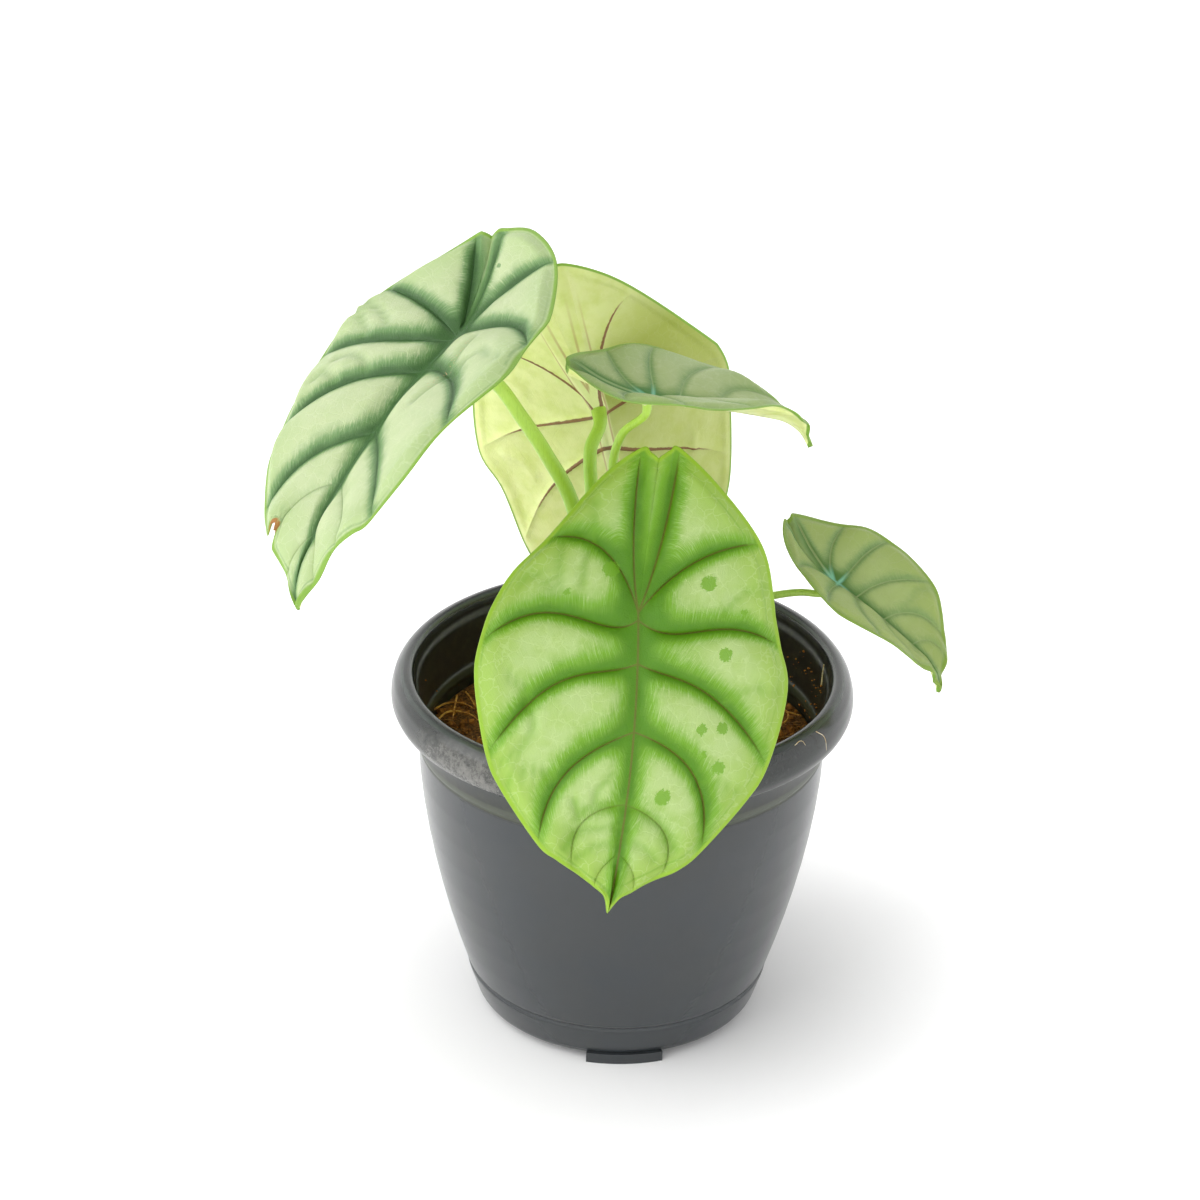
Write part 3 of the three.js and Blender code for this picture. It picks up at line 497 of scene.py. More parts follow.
class Graph:
    """Adds nodes to one node tree and links them."""

    def __init__(self, tree):
        self.tree = tree

    def node(self, kind, **settings):
        made = self.tree.nodes.new(kind)
        for key, value in settings.items():
            setattr(made, key, value)
        return made

    def feed(self, socket, value):
        """Links a socket to another's value, or sets it to a number or a colour."""
        if isinstance(value, str):
            value = colour_of(value)
        if isinstance(value, bpy.types.NodeSocket):
            self.tree.links.new(value, socket)
        elif isinstance(value, tuple) and len(value) < len(socket.default_value):
            socket.default_value = (*value, 1.0)
        else:
            socket.default_value = value

    def math(self, operation, first, second=0.0, third=0.0):
        made = self.node("ShaderNodeMath", operation=operation)
        for socket, value in zip(made.inputs, (first, second, third)):
            self.feed(socket, value)
        return made.outputs[0]

    def times(self, first, second):
        return self.math("MULTIPLY", first, second)

    def times_plus(self, first, second, third):
        return self.math("MULTIPLY_ADD", first, second, third)

    def ramp(self, value, low, high, to_low=0.0, to_high=1.0):
        """A smooth step of value between low and high."""
        made = self.node("ShaderNodeMapRange", interpolation_type="SMOOTHSTEP")
        for socket, given in zip(made.inputs, (value, low, high, to_low, to_high)):
            self.feed(socket, given)
        return made.outputs[0]

    def mix(self, share, first, second):
        """A colour from the first to the second as share goes from 0 to 1."""
        made = self.node("ShaderNodeMix", data_type="RGBA")
        for index, value in ((0, share), (6, first), (7, second)):
            self.feed(made.inputs[index], value)
        return made.outputs[2]

    def noise(self, place, scale, detail=3.0, roughness=0.55, stretch=(1, 1, 1)):
        mapping = self.node("ShaderNodeMapping")
        mapping.inputs["Scale"].default_value = stretch
        self.feed(mapping.inputs["Vector"], place)
        made = self.node("ShaderNodeTexNoise")
        self.feed(made.inputs["Vector"], mapping.outputs[0])
        self.feed(made.inputs["Scale"], scale)
        set_inputs(made, Detail=detail, Roughness=roughness)
        return made.outputs["Fac"]

    def cells(self, place, scale, feature="DISTANCE_TO_EDGE"):
        made = self.node("ShaderNodeTexVoronoi", feature=feature)
        self.feed(made.inputs["Vector"], place)
        self.feed(made.inputs["Scale"], scale)
        return made.outputs["Distance"]

    def attribute(self, name, output="Fac"):
        return self.node("ShaderNodeAttribute", attribute_name=name).outputs[output]

    def place(self):
        """Object coordinates, in millimetres."""
        made = self.node("ShaderNodeVectorMath", operation="SCALE")
        self.feed(made.inputs[0], self.node("ShaderNodeTexCoord").outputs["Object"])
        made.inputs["Scale"].default_value = 1000.0
        return made.outputs[0]

    def parts(self, vector):
        made = self.node("ShaderNodeSeparateXYZ")
        self.feed(made.inputs[0], vector)
        return made.outputs

    def group(self, tree, **values):
        made = self.node("ShaderNodeGroup", node_tree=tree)
        for key, value in values.items():
            self.feed(made.inputs[key.replace("_", " ")], value)
        return made.outputs


def new_group(name, inputs, outputs):
    """An empty node group with its sockets, as (tree, graph, input sockets, output node)."""
    tree = bpy.data.node_groups.new(name, "ShaderNodeTree")
    for label, kind in inputs:
        tree.interface.new_socket(name=label, in_out="INPUT", socket_type=kind)
    for label, kind in outputs:
        tree.interface.new_socket(name=label, in_out="OUTPUT", socket_type=kind)
    graph = Graph(tree)
    given = graph.node("NodeGroupInput").outputs
    result = graph.node("NodeGroupOutput")
    return tree, graph, given, result


def shared_group(name, build):
    """The node group of that name, built when first asked for."""
    return bpy.data.node_groups.get(name) or build(name)


def leaf_streaks_group(name):
    """Pale hair-fine lines that run across a panel, and a faint net between them."""
    tree, graph, given, result = new_group(
        name, [("Flow", "NodeSocketVector"), ("Flat", "NodeSocketVector"),
               ("Scale", "NodeSocketFloat")],
        [("Streak", "NodeSocketFloat"), ("Net", "NodeSocketFloat"), ("Cloud", "NodeSocketFloat")])
    along = graph.noise(given["Flow"], given["Scale"], 2.0, 0.5, (0.85, 0.07, 1))
    fine = graph.noise(given["Flow"], given["Scale"], 2.0, 0.5, (2.3, 0.12, 1))
    ridge = graph.math("ABSOLUTE", graph.math("SUBTRACT", along, 0.5))
    thin = graph.math("ABSOLUTE", graph.math("SUBTRACT", fine, 0.5))
    streak = graph.math("MAXIMUM", graph.ramp(ridge, 0.028, 0.0),
                        graph.times(graph.ramp(thin, 0.06, 0.0), 0.55))
    warp = graph.node("ShaderNodeVectorMath", operation="MULTIPLY_ADD")
    wobble = graph.node("ShaderNodeTexNoise")
    wobble.inputs["Scale"].default_value = 0.35
    graph.feed(wobble.inputs["Vector"], given["Flat"])
    graph.feed(warp.inputs[0], wobble.outputs["Color"])
    warp.inputs[1].default_value = (3.0, 3.0, 3.0)
    graph.feed(warp.inputs[2], given["Flat"])
    net = graph.ramp(graph.cells(warp.outputs[0], 0.26), 0.06, 0.0)
    graph.feed(result.inputs["Streak"], streak)
    graph.feed(result.inputs["Net"], net)
    graph.feed(result.inputs["Cloud"], graph.noise(given["Flat"], 0.16, 3.0))
    return tree


def grain_group(name):
    """Fine grain and broad mottling of a surface, from its place in millimetres."""
    tree, graph, given, result = new_group(
        name, [("Place", "NodeSocketVector"), ("Grain", "NodeSocketFloat"),
               ("Mottle", "NodeSocketFloat")],
        [("Fine", "NodeSocketFloat"), ("Broad", "NodeSocketFloat")])
    graph.feed(result.inputs["Fine"], graph.noise(given["Place"], given["Grain"], 4.0, 0.6))
    graph.feed(result.inputs["Broad"], graph.noise(given["Place"], given["Mottle"], 3.0, 0.5))
    return tree


def new_material(name):
    """A material with an empty graph and its shader, as (material, graph, shader)."""
    material = bpy.data.materials.new(name)
    material.use_nodes = True
    material.node_tree.nodes.clear()
    graph = Graph(material.node_tree)
    shader = graph.node("ShaderNodeBsdfPrincipled")
    output = graph.node("ShaderNodeOutputMaterial")
    graph.feed(output.inputs["Surface"], shader.outputs[0])
    return material, graph, shader


def set_inputs(node, **values):
    """Sets inputs by name, with an underscore for each space of the name."""
    for key, value in values.items():
        node.inputs[key.replace("_", " ")].default_value = value


def bump(graph, shader, height, strength, distance):
    made = graph.node("ShaderNodeBump")
    set_inputs(made, Strength=strength, Distance=distance)
    graph.feed(made.inputs["Height"], height)
    graph.feed(shader.inputs["Normal"], made.outputs[0])


def blade_material(name, palette, small):
    """Upper face: silver panels, green along the veins. Underside: pale with maroon veins, partly
    its own pale colour and partly painted light coming through the blade, and painted olive shade
    where it turns away from the light.
    """
    material, graph, shader = new_material(f"Blade {name}")
    flow = graph.attribute("flow", "Vector")
    flat = graph.attribute("flat", "Vector")
    streaks = graph.group(shared_group("Leaf Streaks", leaf_streaks_group),
                          Flow=flow, Flat=flat, Scale=1.7 if small else 1.0)
    halo = graph.attribute("halo")
    edge = graph.attribute("edge")
    cord = graph.attribute("cord")
    lateral = graph.attribute("lateral")
    out = graph.attribute("out")
    under = graph.attribute("under")

    ragged = graph.times_plus(graph.math("SUBTRACT", streaks["Cloud"], 0.5), 0.35, halo)
    verge = graph.times(graph.ramp(halo, 0.08, 0.40), graph.ramp(halo, 0.95, 0.60))
    feather = graph.times(streaks["Streak"], verge)
    feather = graph.times(feather, graph.attribute("combed"))
    green = graph.times_plus(feather, -0.15, ragged)
    colour = graph.mix(graph.ramp(edge, 14.0, 2.0), palette["panel"], palette["outer"])
    cloud = graph.ramp(streaks["Cloud"], 0.40, 0.66, 0.0, 0.35)
    colour = graph.mix(cloud, colour, palette["outer"])
    colour = graph.mix(graph.times(streaks["Net"], 0.22), colour, palette["streak"])
    colour = graph.mix(graph.ramp(green, 0.06, 0.62), colour, palette["halo"])
    colour = graph.mix(graph.ramp(green, 0.50, 1.0), colour, palette["deep"])
    colour = graph.mix(graph.times(feather, 0.12), colour, palette["streak"])
    colour = graph.mix(graph.times(graph.attribute("crease"), 0.45), colour,
                       palette["halo"])
    strength = graph.attribute("strength")
    near = graph.math("MINIMUM", cord, lateral)
    cord_line = graph.ramp(cord, 0.42, 0.16)
    side_line = graph.times(graph.ramp(lateral, 0.36, 0.12), strength)
    line = graph.times(graph.math("MAXIMUM", cord_line, side_line),
                      graph.ramp(out, 1.0, 0.80))
    colour = graph.mix(graph.times(line, 0.85), colour, palette["vein"])
    torn = graph.noise(flat, 1.4, 5.0, 0.75)
    scar = graph.ramp(graph.times_plus(torn, 1.5, graph.attribute("scar")), 1.28, 1.36)
    colour = graph.mix(graph.times(scar, 0.85), colour, palette["halo"])
    colour = graph.mix(graph.times(graph.ramp(graph.attribute("rim"), 0.45, 0.05), 0.45),
                       colour, palette["halo"])
    crumb = graph.ramp(graph.cells(flat, 1.5, "F1"), 0.22, 0.14)
    crumb = graph.times(crumb, graph.ramp(graph.attribute("dust"), 0.25, 0.7))
    colour = graph.mix(crumb, colour, "c9a27c")
    colour = graph.mix(graph.ramp(edge, 1.2, 0.5), colour, palette["margin"])
    if small:
        star = graph.times(graph.ramp(graph.attribute("joint"), 6.5, 1.0),
                          graph.ramp(near, 0.9, 0.2))
        colour = graph.mix(graph.times(star, 0.8), colour, "7fc4a8")
    colour = graph.mix(graph.attribute("bitten"), colour, "a8763c")

    # Underside: its own pale colour brightened with painted light coming through the blade, then
    # painted olive shade where it turns away from the light.
    underside_mottle_and_light = graph.mix(graph.ramp(streaks["Cloud"], 0.35, 0.7), "eaf2ac",
                        "dce792")
    underside_mottle_and_light = graph.mix(graph.attribute("painted_shade"), underside_mottle_and_light, "9fab4c")
    underside_mottle_and_light = graph.mix(graph.times(streaks["Net"], 0.04), underside_mottle_and_light, "eef4c4")
    wander = graph.times_plus(graph.noise(flat, 0.7, 2.0), 0.5, lateral)
    width = graph.ramp(out, 0.0, 1.0, 0.95, 0.42)
    maroon = graph.ramp(graph.math("DIVIDE", wander, width), 1.05, 0.80)
    maroon = graph.times(maroon, graph.ramp(out, 0.86, 0.66))
    maroon = graph.times(maroon, strength)
    ribbon = graph.times(graph.ramp(cord, 2.8, 1.6), graph.ramp(out, 0.5, 0.0))
    rim = graph.times(graph.ramp(cord, 1.3, 1.7), graph.ramp(cord, 2.3, 1.9))
    rim = graph.times(rim, graph.ramp(graph.attribute("joint"), 42.0, 12.0))
    below = graph.mix(ribbon, underside_mottle_and_light, "e9f2b4")
    below = graph.mix(graph.times(maroon, 0.9 if not small else 0.2), below,
                      "7d4a34")
    below = graph.mix(graph.times(rim, 0.6 if not small else 0.1), below,
                      "a5764f")
    below = graph.mix(graph.ramp(edge, 0.7, 0.3), below, "7fa83b")
    graph.feed(shader.inputs["Base Color"], graph.mix(under, colour, below))
    gloss = graph.mix(under, (0.40, 0.40, 0.40), (0.52, 0.52, 0.52))
    graph.feed(shader.inputs["Roughness"], gloss)
    set_inputs(shader, Specular_IOR_Level=0.32, Subsurface_Weight=0.12,
               Subsurface_Radius=(0.35, 0.5, 0.12), Subsurface_Scale=0.002)
    grain = graph.group(shared_group("Surface Grain", grain_group), Place=graph.place(),
                        Grain=2.6, Mottle=0.3)
    height = graph.times_plus(streaks["Streak"], -0.5, grain["Fine"])
    height = graph.times_plus(streaks["Net"], -0.5, height)
    bump(graph, shader, height, 0.45, 0.00018)
    return material


def stalk_material():
    material, graph, shader = new_material("Stalk")
    place = graph.place()
    grain = graph.group(shared_group("Surface Grain", grain_group), Place=place, Grain=1.8,
                        Mottle=0.22)
    fibres = graph.noise(place, 1.0, 3.0, 0.6, (3.0, 3.0, 0.12))
    height = graph.parts(place)[2]
    colour = graph.mix(graph.ramp(height, 92.0, 150.0), "c9d58c", "9cc83c")
    colour = graph.mix(graph.ramp(height, 150.0, 205.0), colour, "b5d955")
    colour = graph.mix(graph.ramp(fibres, 0.45, 0.75, 0.0, 0.45), colour, "7fae2c")
    colour = graph.mix(graph.ramp(grain["Fine"], 0.62, 0.75, 0.0, 0.35), colour,
                       "d4e59a")
    graph.feed(shader.inputs["Base Color"], colour)
    set_inputs(shader, Roughness=0.36, Subsurface_Weight=0.15,
               Subsurface_Radius=(0.5, 0.8, 0.2), Subsurface_Scale=0.002)
    bump(graph, shader, fibres, 0.35, 0.0002)
    return material


def crown_material():
    material, graph, shader = new_material("Crown")
    place = graph.place()
    fibres = graph.noise(place, 1.0, 4.0, 0.65, (1.6, 1.6, 0.10))
    height = graph.parts(place)[2]
    colour = graph.mix(graph.ramp(height, 84.0, 95.0), "8a6a3c", "b9c46a")
    colour = graph.mix(graph.ramp(fibres, 0.48, 0.70, 0.0, 0.8), colour, "6b4a2a")
    graph.feed(shader.inputs["Base Color"], colour)
    shader.inputs["Roughness"].default_value = 0.6
    bump(graph, shader, fibres, 0.7, 0.0006)
    return material


def pot_material(settings):
    """Glossy charcoal plastic. Painted on it: a pale glare on the front left of its collar, a thin
    highlight along the top of the rim, a pale highlight on the inner step and shade inside the
    pot; the collar is also painted darker than the wall.
    """
    material, graph, shader = new_material("Pot Plastic")
    place = graph.place()
    grain = graph.group(shared_group("Surface Grain", grain_group), Place=place, Grain=0.9,
                        Mottle=0.045)
    x, y, z = graph.parts(place)
    colour = graph.mix(graph.ramp(grain["Broad"], 0.35, 0.75, 0.0, 0.35), tuple(settings.colour),
                       "2a3138")
    # The collar is painted darker than the wall below it.
    darker_collar = graph.ramp(z, 95.0, 97.0)
    colour = graph.mix(graph.times(darker_collar, 0.75), colour, "1b1f1a")
    # Painted highlight: a pale patch where the key light glares on the collar's front left, broken
    # up by noise; it also roughens and bumps the plastic there.
    collar = graph.times(graph.ramp(z, 96.5, 97.5), graph.ramp(z, 108.4, 104.0))
    toward = graph.times_plus(x, -0.62, graph.times(y, -0.78))
    front = graph.ramp(toward, 52.0, 67.0)
    glare_patches = graph.noise(place, 0.30, 8.0, 0.82)
    painted_glare = graph.times(graph.times(collar, front),
                       graph.ramp(glare_patches, 0.30, 0.72))
    colour = graph.mix(graph.times(painted_glare, 0.9), colour, tuple(settings.glare_and_dust_colour))
    dust = graph.times(graph.ramp(graph.noise(place, 1.1, 8.0, 0.85), 0.55, 0.75),
                      graph.ramp(z, 90.0, 97.0))
    colour = graph.mix(graph.times(dust, 0.12), colour, tuple(settings.glare_and_dust_colour))

    # Painted highlight: a thin pale line along the top of the rim.
    rim_top_highlight = graph.times(graph.ramp(z, 107.2, 107.8), graph.ramp(z, 108.3, 108.0))
    colour = graph.mix(graph.times(rim_top_highlight, 0.10), colour, "8fa09a")
    inside = graph.attribute("inside")
    # Inside the pot: partly dark soil grime, partly painted shade, much darker than the plastic
    # outside.
    grime_and_shade = graph.mix(graph.ramp(graph.noise(place, 0.35, 5.0, 0.7), 0.40, 0.72),
                      "14170f", "2c2f1e")
    colour = graph.mix(graph.times(inside, 0.85), colour, grime_and_shade)
    # Painted highlight: a pale band on the sloping inner step below the collar.
    ledge_highlight = graph.times(graph.ramp(z, 85.6, 86.2), graph.ramp(z, 89.4, 88.8))
    ledge_highlight = graph.times(ledge_highlight, inside)
    colour = graph.mix(graph.times(ledge_highlight, 0.5), colour, "4a5240")
    graph.feed(shader.inputs["Base Color"], colour)
    rough = graph.times_plus(grain["Fine"], 0.10, 0.17)
    rough = graph.times_plus(painted_glare, 0.35, rough)
    rough = graph.times_plus(inside, 0.18, rough)
    graph.feed(shader.inputs["Roughness"], rough)
    shader.inputs["Specular IOR Level"].default_value = 0.55
    height = graph.times_plus(painted_glare, 0.8, grain["Fine"])
    bump(graph, shader, height, 0.12, 0.00015)
    return material


def soil_material(name, pale, dark, warm):
    material, graph, shader = new_material(name)
    place = graph.place()
    grain = graph.group(shared_group("Surface Grain", grain_group), Place=place, Grain=1.4,
                        Mottle=0.25)
    tone = graph.attribute("tone")
    colour = graph.mix(graph.ramp(grain["Fine"], 0.35, 0.68), dark, pale)
    colour = graph.mix(graph.ramp(grain["Broad"], 0.5, 0.7, 0.0, 0.5), colour, warm)
    colour = graph.mix(graph.times(tone, 0.75), colour, warm)
    graph.feed(shader.inputs["Base Color"], colour)
    set_inputs(shader, Roughness=0.92, Specular_IOR_Level=0.2)
    bump(graph, shader, grain["Fine"], 0.9, 0.0006)
    return material


def thread_material(name, pale, dark):
    material, graph, shader = new_material(name)
    fibres = graph.noise(graph.place(), 0.8, 3.0)
    graph.feed(shader.inputs["Base Color"],
               graph.mix(graph.ramp(fibres, 0.4, 0.65), dark, pale))
    shader.inputs["Roughness"].default_value = 0.6
    return material


# Flat net of a half blade: line runs from 0 (back line) to 8 (tip), out from 0 to 1 (margin)

def catmull_rom(points, at):
    points = np.asarray(points, float)
    last = len(points) - 1
    start = np.clip(np.floor(at).astype(int), 0, last - 1)
    t = (at - start)[..., None]
    before, here, there, after = (points[np.clip(start + i, 0, last)] for i in (-1, 0, 1, 2))
    square = 2 * before - 5 * here + 4 * there - after
    cube = 3 * here - 3 * there + after - before
    return 0.5 * (2 * here + (there - before) * t + square * t ** 2 + cube * t ** 3)


def half_net(leaf, side):
    """The tables of one half as arrays at the blade's scale."""
    across, tip, lobe = leaf.get("scale", (1, 1, 1))
    half = leaf["halves"][1 if side > 0 else 0]
    margin = np.array(half["margin"], float)
    roots = np.array(leaf["roots"], float)
    bows = np.array(half["halfway"], float) - margin[::2] / 2
    bows[:, 1] -= roots / 2
    bows[-1] = 0
    margin[:, 1] *= np.where(margin[:, 1] > 0, tip, lobe)
    margin[:, 0] *= across
    drift = np.array(leaf.get("drift", (0, 0))) * (side, 1)
    return {"margin": margin, "bows": bows * (across, (tip + lobe) / 2), "roots": roots * tip,
            "sags": np.array(half["sags"], float) * tip, "drift": drift, "tip": leaf["tip"]}


def net_points(net, line, out):
    """Flat places at a line's number and a share of the way out to the margin."""
    root = np.stack([0 * line, np.interp(line, range(PANELS + 1), net["roots"])], -1)
    end = catmull_rom(net["margin"], line * 2)
    middle = (root + end) / 2 + 2 * catmull_rom(net["bows"], line)
    t = out[..., None]
    places = root * (1 - t) ** 2 + 2 * middle * t * (1 - t) + end * t ** 2
    reach = np.maximum(root[..., 1], 0) / net["tip"]
    drifted = (1 - out) * (1 - smoothstep(reach, *DRIFT_END))
    places = places + net["drift"] * drifted[..., None]
    sag = np.interp(line, range(PANELS + 1), net["sags"])
    places[..., 1] += SAG_PEAK * sag * out * (1 - out) ** 3
    return places


# Bending of a flat blade into its place

def arc(length, curvature):
    """Way along, drop and turn at the end of an arc."""
    curvature = np.where(np.abs(curvature) < 1e-9, 1e-9, curvature)
    angle = curvature * length
    return np.sin(angle) / curvature, -(1 - np.cos(angle)) / curvature, angle


def leaf_axes(leaf):
    """Rows: across the blade, from its joint to its tip, and out of its upper face."""
    heading, dip, roll = (math.radians(leaf[key]) for key in ("heading", "dip", "roll"))
    along = Vector((math.cos(heading) * math.cos(dip), math.sin(heading) * math.cos(dip),
                    -math.sin(dip)))
    level = Vector((math.cos(heading) * math.sin(dip), math.sin(heading) * math.sin(dip),
                    math.cos(dip)))
    turn = Matrix.Rotation(-roll, 3, along)
    return np.array([turn @ along.cross(level), along, turn @ level])


def bend(leaf, u, v):
    """Flat places of a blade to places in the pot's frame, in millimetres."""
    curl_start = TIP_CURL_FROM * leaf["tip"]
    tip_bend = math.radians(leaf["tip_bend"]) / leaf["tip"]
    lobe_bend = -math.radians(leaf["lobe_bend"]) / leaf["lobe"]
    curl = tip_bend + math.radians(leaf["tip_curl"]) / (leaf["tip"] - curl_start)
    y, z, angle = arc(np.minimum(v, curl_start), np.where(v >= 0, tip_bend, lobe_bend))
    more_y, more_z, more_angle = arc(np.maximum(v - curl_start, 0), curl)
    y, z = (y + more_y * np.cos(angle) + more_z * np.sin(angle),
            z - more_y * np.sin(angle) + more_z * np.cos(angle))
    angle = angle + more_angle
    minus_fold, plus_fold = np.radians(leaf["fold"])
    minus_curl, plus_curl = np.radians(leaf["curl"]) / leaf["half"]
    fold = np.where(u < 0, minus_fold, plus_fold)
    curvature = np.where(u < 0, minus_curl, plus_curl)
    opened = fold + curvature * np.abs(u)
    across = np.where(u < 0, -1, 1) * (np.sin(opened) - np.sin(fold)) / curvature
    rise = (np.cos(fold) - np.cos(opened)) / curvature
    twist = math.radians(leaf["twist"]) * v / leaf["tip"]
    across, rise = (across * np.cos(twist) - rise * np.sin(twist),
                    across * np.sin(twist) + rise * np.cos(twist))
    sway = np.where(v > 0, leaf["tip_sway"] * (v / leaf["tip"]) ** 2,
                    leaf["lobe_sway"] * -v / leaf["lobe"])
    local = np.stack([across + sway, y + rise * np.sin(angle), z + rise * np.cos(angle)], -1)
    return np.array(leaf["joint"]) + local @ leaf_axes(leaf)


def blade_normals(leaf, u, v, step=0.05):
    here = bend(leaf, u, v)
    along = bend(leaf, u, v + step) - here
    total = 0
    for side in (-1, 1):
        reach = np.where(np.abs(u) < 1e-6, side, np.sign(u)) * step
        across = (bend(leaf, u + reach, v) - here) * np.sign(reach)[..., None]
        normal = np.cross(across, along)
        total = total + normal / np.linalg.norm(normal, axis=-1, keepdims=True)
    return total / np.linalg.norm(total, axis=-1, keepdims=True)


def distance_to(places, chain):
    """Least distance from each flat place to a chain of straight steps."""
    chain = np.asarray(chain, float)
    best = np.full(len(places), 1e9)
    for a, b in zip(chain, chain[1:]):
        step = b - a
        size = max(float(step @ step), 1e-12)
        share = np.clip((places - a) @ step / size, 0, 1)
        best = np.minimum(best, np.linalg.norm(places - a - share[:, None] * step, axis=1))
    return best


def blade_half(leaf, side, columns, rows):
    """Flat grid of one half, with what its relief and colours are worked out from."""
    net = half_net(leaf, side)
    shares = 0.5 - 0.5 * np.cos(np.pi * np.arange(columns) / columns)
    lines = np.append((np.arange(PANELS)[:, None] + shares).ravel(), PANELS)
    outs = np.linspace(0, 1, rows + 1) ** 0.92
    line, out = np.meshgrid(lines, outs, indexing="ij")
    shown = out
    bite = leaf.get("bite")
    if bite and bite["side"] == side:
        ragged = 0.03 * np.sin(line * 61) + 0.02 * np.sin(line * 137 + 1)
        pulled = 1 - smoothstep(np.abs(line - bite["line"]), bite["reach"] * 0.55, bite["reach"])
        shown = out * (1 - (bite["depth"] + ragged) * pulled)
    flat = net_points(net, line, shown)
    panel = np.minimum(np.floor(line + 1e-9), PANELS - 1)
    near = net_points(net, panel, shown)
    far = net_points(net, panel + 1, shown)
    width = np.linalg.norm(near - far, axis=-1)
    share = line - panel
    steps = np.linspace(0, 1, 40)
    veins = [net_points(net, np.full(40, float(k)), steps) for k in range(1, PANELS)]
    places = flat.reshape(-1, 2)
    shape = line.shape
    side_veins = np.array([distance_to(places, vein).reshape(shape) for vein in veins[1:]])
    costa = distance_to(places, veins[0]).reshape(shape)
    forward = np.linspace(PANELS * 0.25, PANELS, 60)
    middle = distance_to(places, net_points(net, forward, 0 * forward)).reshape(shape)
    margin = net_points(net, lines, np.ones(len(lines)))
    if shown is not out:
        margin = flat[:, -1]
    edge = distance_to(places, margin).reshape(shape)
    length = np.linalg.norm(np.diff(flat, axis=1), axis=-1).sum(1)[:, None]
    return {
        "u": flat[..., 0] * side, "v": flat[..., 1], "line": line, "out": shown, "width": width,
        "share": share, "panel": panel, "side_veins": side_veins, "costa": costa,
        "middle": middle, "edge": edge, "length": length + 0 * line, "side": side,
        "strength": np.take(leaf["strengths"], side_veins.argmin(0) + 2),
        "pulled": (shown < out - 0.02) & (edge < 1.0),
    }


def blade_relief(leaf, half, quilting):
    """Lift of both faces and depth of the ribs below, in millimetres."""
    dome = np.sin(np.pi * np.clip(half["share"], 0, 1)) ** 0.6
    rise = smoothstep(half["out"], 0, 0.18) * smoothstep(1 - half["out"], 0, 0.12)
    flat = np.where(half["panel"] == 0, 0.25, 1.0)
    flat = np.where(half["panel"] >= 5, 0.55, flat)
    lift = quilting * flat * dome * rise * np.minimum(1, half["width"] / FULL_PANEL_WIDTH)
    lift += MARGIN_WAVE * np.sin(3.6 * half["line"] + leaf["heading"]) * smoothstep(
        half["out"], 0.5, 1)
    size = 1.0 if leaf["large"] else 0.6
    crease = half["crease"]
    lift -= 0.95 * size * np.exp(-(crease / 1.5) ** 2) * smoothstep(half["edge"], 0, 3)
    rim = leaf["rim"][1 if half["side"] > 0 else 0]
    lift -= 0.35 * size * np.exp(-((half["edge"] - rim) / 0.7) ** 2)
    cord = np.minimum(half["middle"], half["costa"])
    taper = 1 - 0.75 * np.clip(half["v"] / leaf["tip"], 0, 1)
    taper = taper * smoothstep(half["edge"], 0, 5)
    rib = 1.15 * size * np.exp(-(cord / (1.5 * size)) ** 2) * taper
    lateral = half["side_veins"].min(0)
    rib = np.maximum(rib, 0.62 * size * np.exp(-(lateral / (0.75 * size)) ** 2)
                     * (1 - half["out"]) ** 0.5 * half["strength"])
    near_joint = np.hypot(half["u"], half["v"])
    rib += 1.1 * np.exp(-(near_joint / 3.2) ** 2)
    return lift, rib


def blade_halo(leaf, half):
    """How green the upper face is, from 0 in a panel to 1 along a vein."""
    reach = leaf["halo"]
    clear = np.ones_like(half["out"])
    for number, distance in enumerate(half["side_veins"], 2):
        skew = np.where(half["line"] < number, 1.3, 0.72)
        width = reach * skew * (1 - 0.42 * half["out"])
        strength = leaf["strengths"][number]
        clear *= 1 - strength * np.exp(-(distance / width) ** 1.7)
    forward = np.clip(half["v"] / leaf["tip"], 0, 1)
    clear *= 1 - np.exp(-(half["middle"] / (reach * (1.1 - 0.7 * forward))) ** 1.8)
    clear *= 1 - 0.95 * np.exp(-(half["costa"] / (0.75 * reach)) ** 2)
    clear *= 1 - np.exp(-(np.hypot(half["u"], half["v"]) / (1.5 * reach)) ** 2)
    clear = np.where(half["panel"] == 0, clear * 0.75, clear)
    return (1 - clear) * (1 - 0.35 * smoothstep(half["out"], 0.75, 1))


def blade_painted_shade(leaf, half):
    """How olive the underside is: 0 where light comes through, 1 where it is turned away."""
    if half["side"] < 0 or "painted_shades" not in leaf:
        return 0 * half["out"]
    return np.interp(half["line"], np.arange(2 * PANELS) / 2, leaf["painted_shades"])


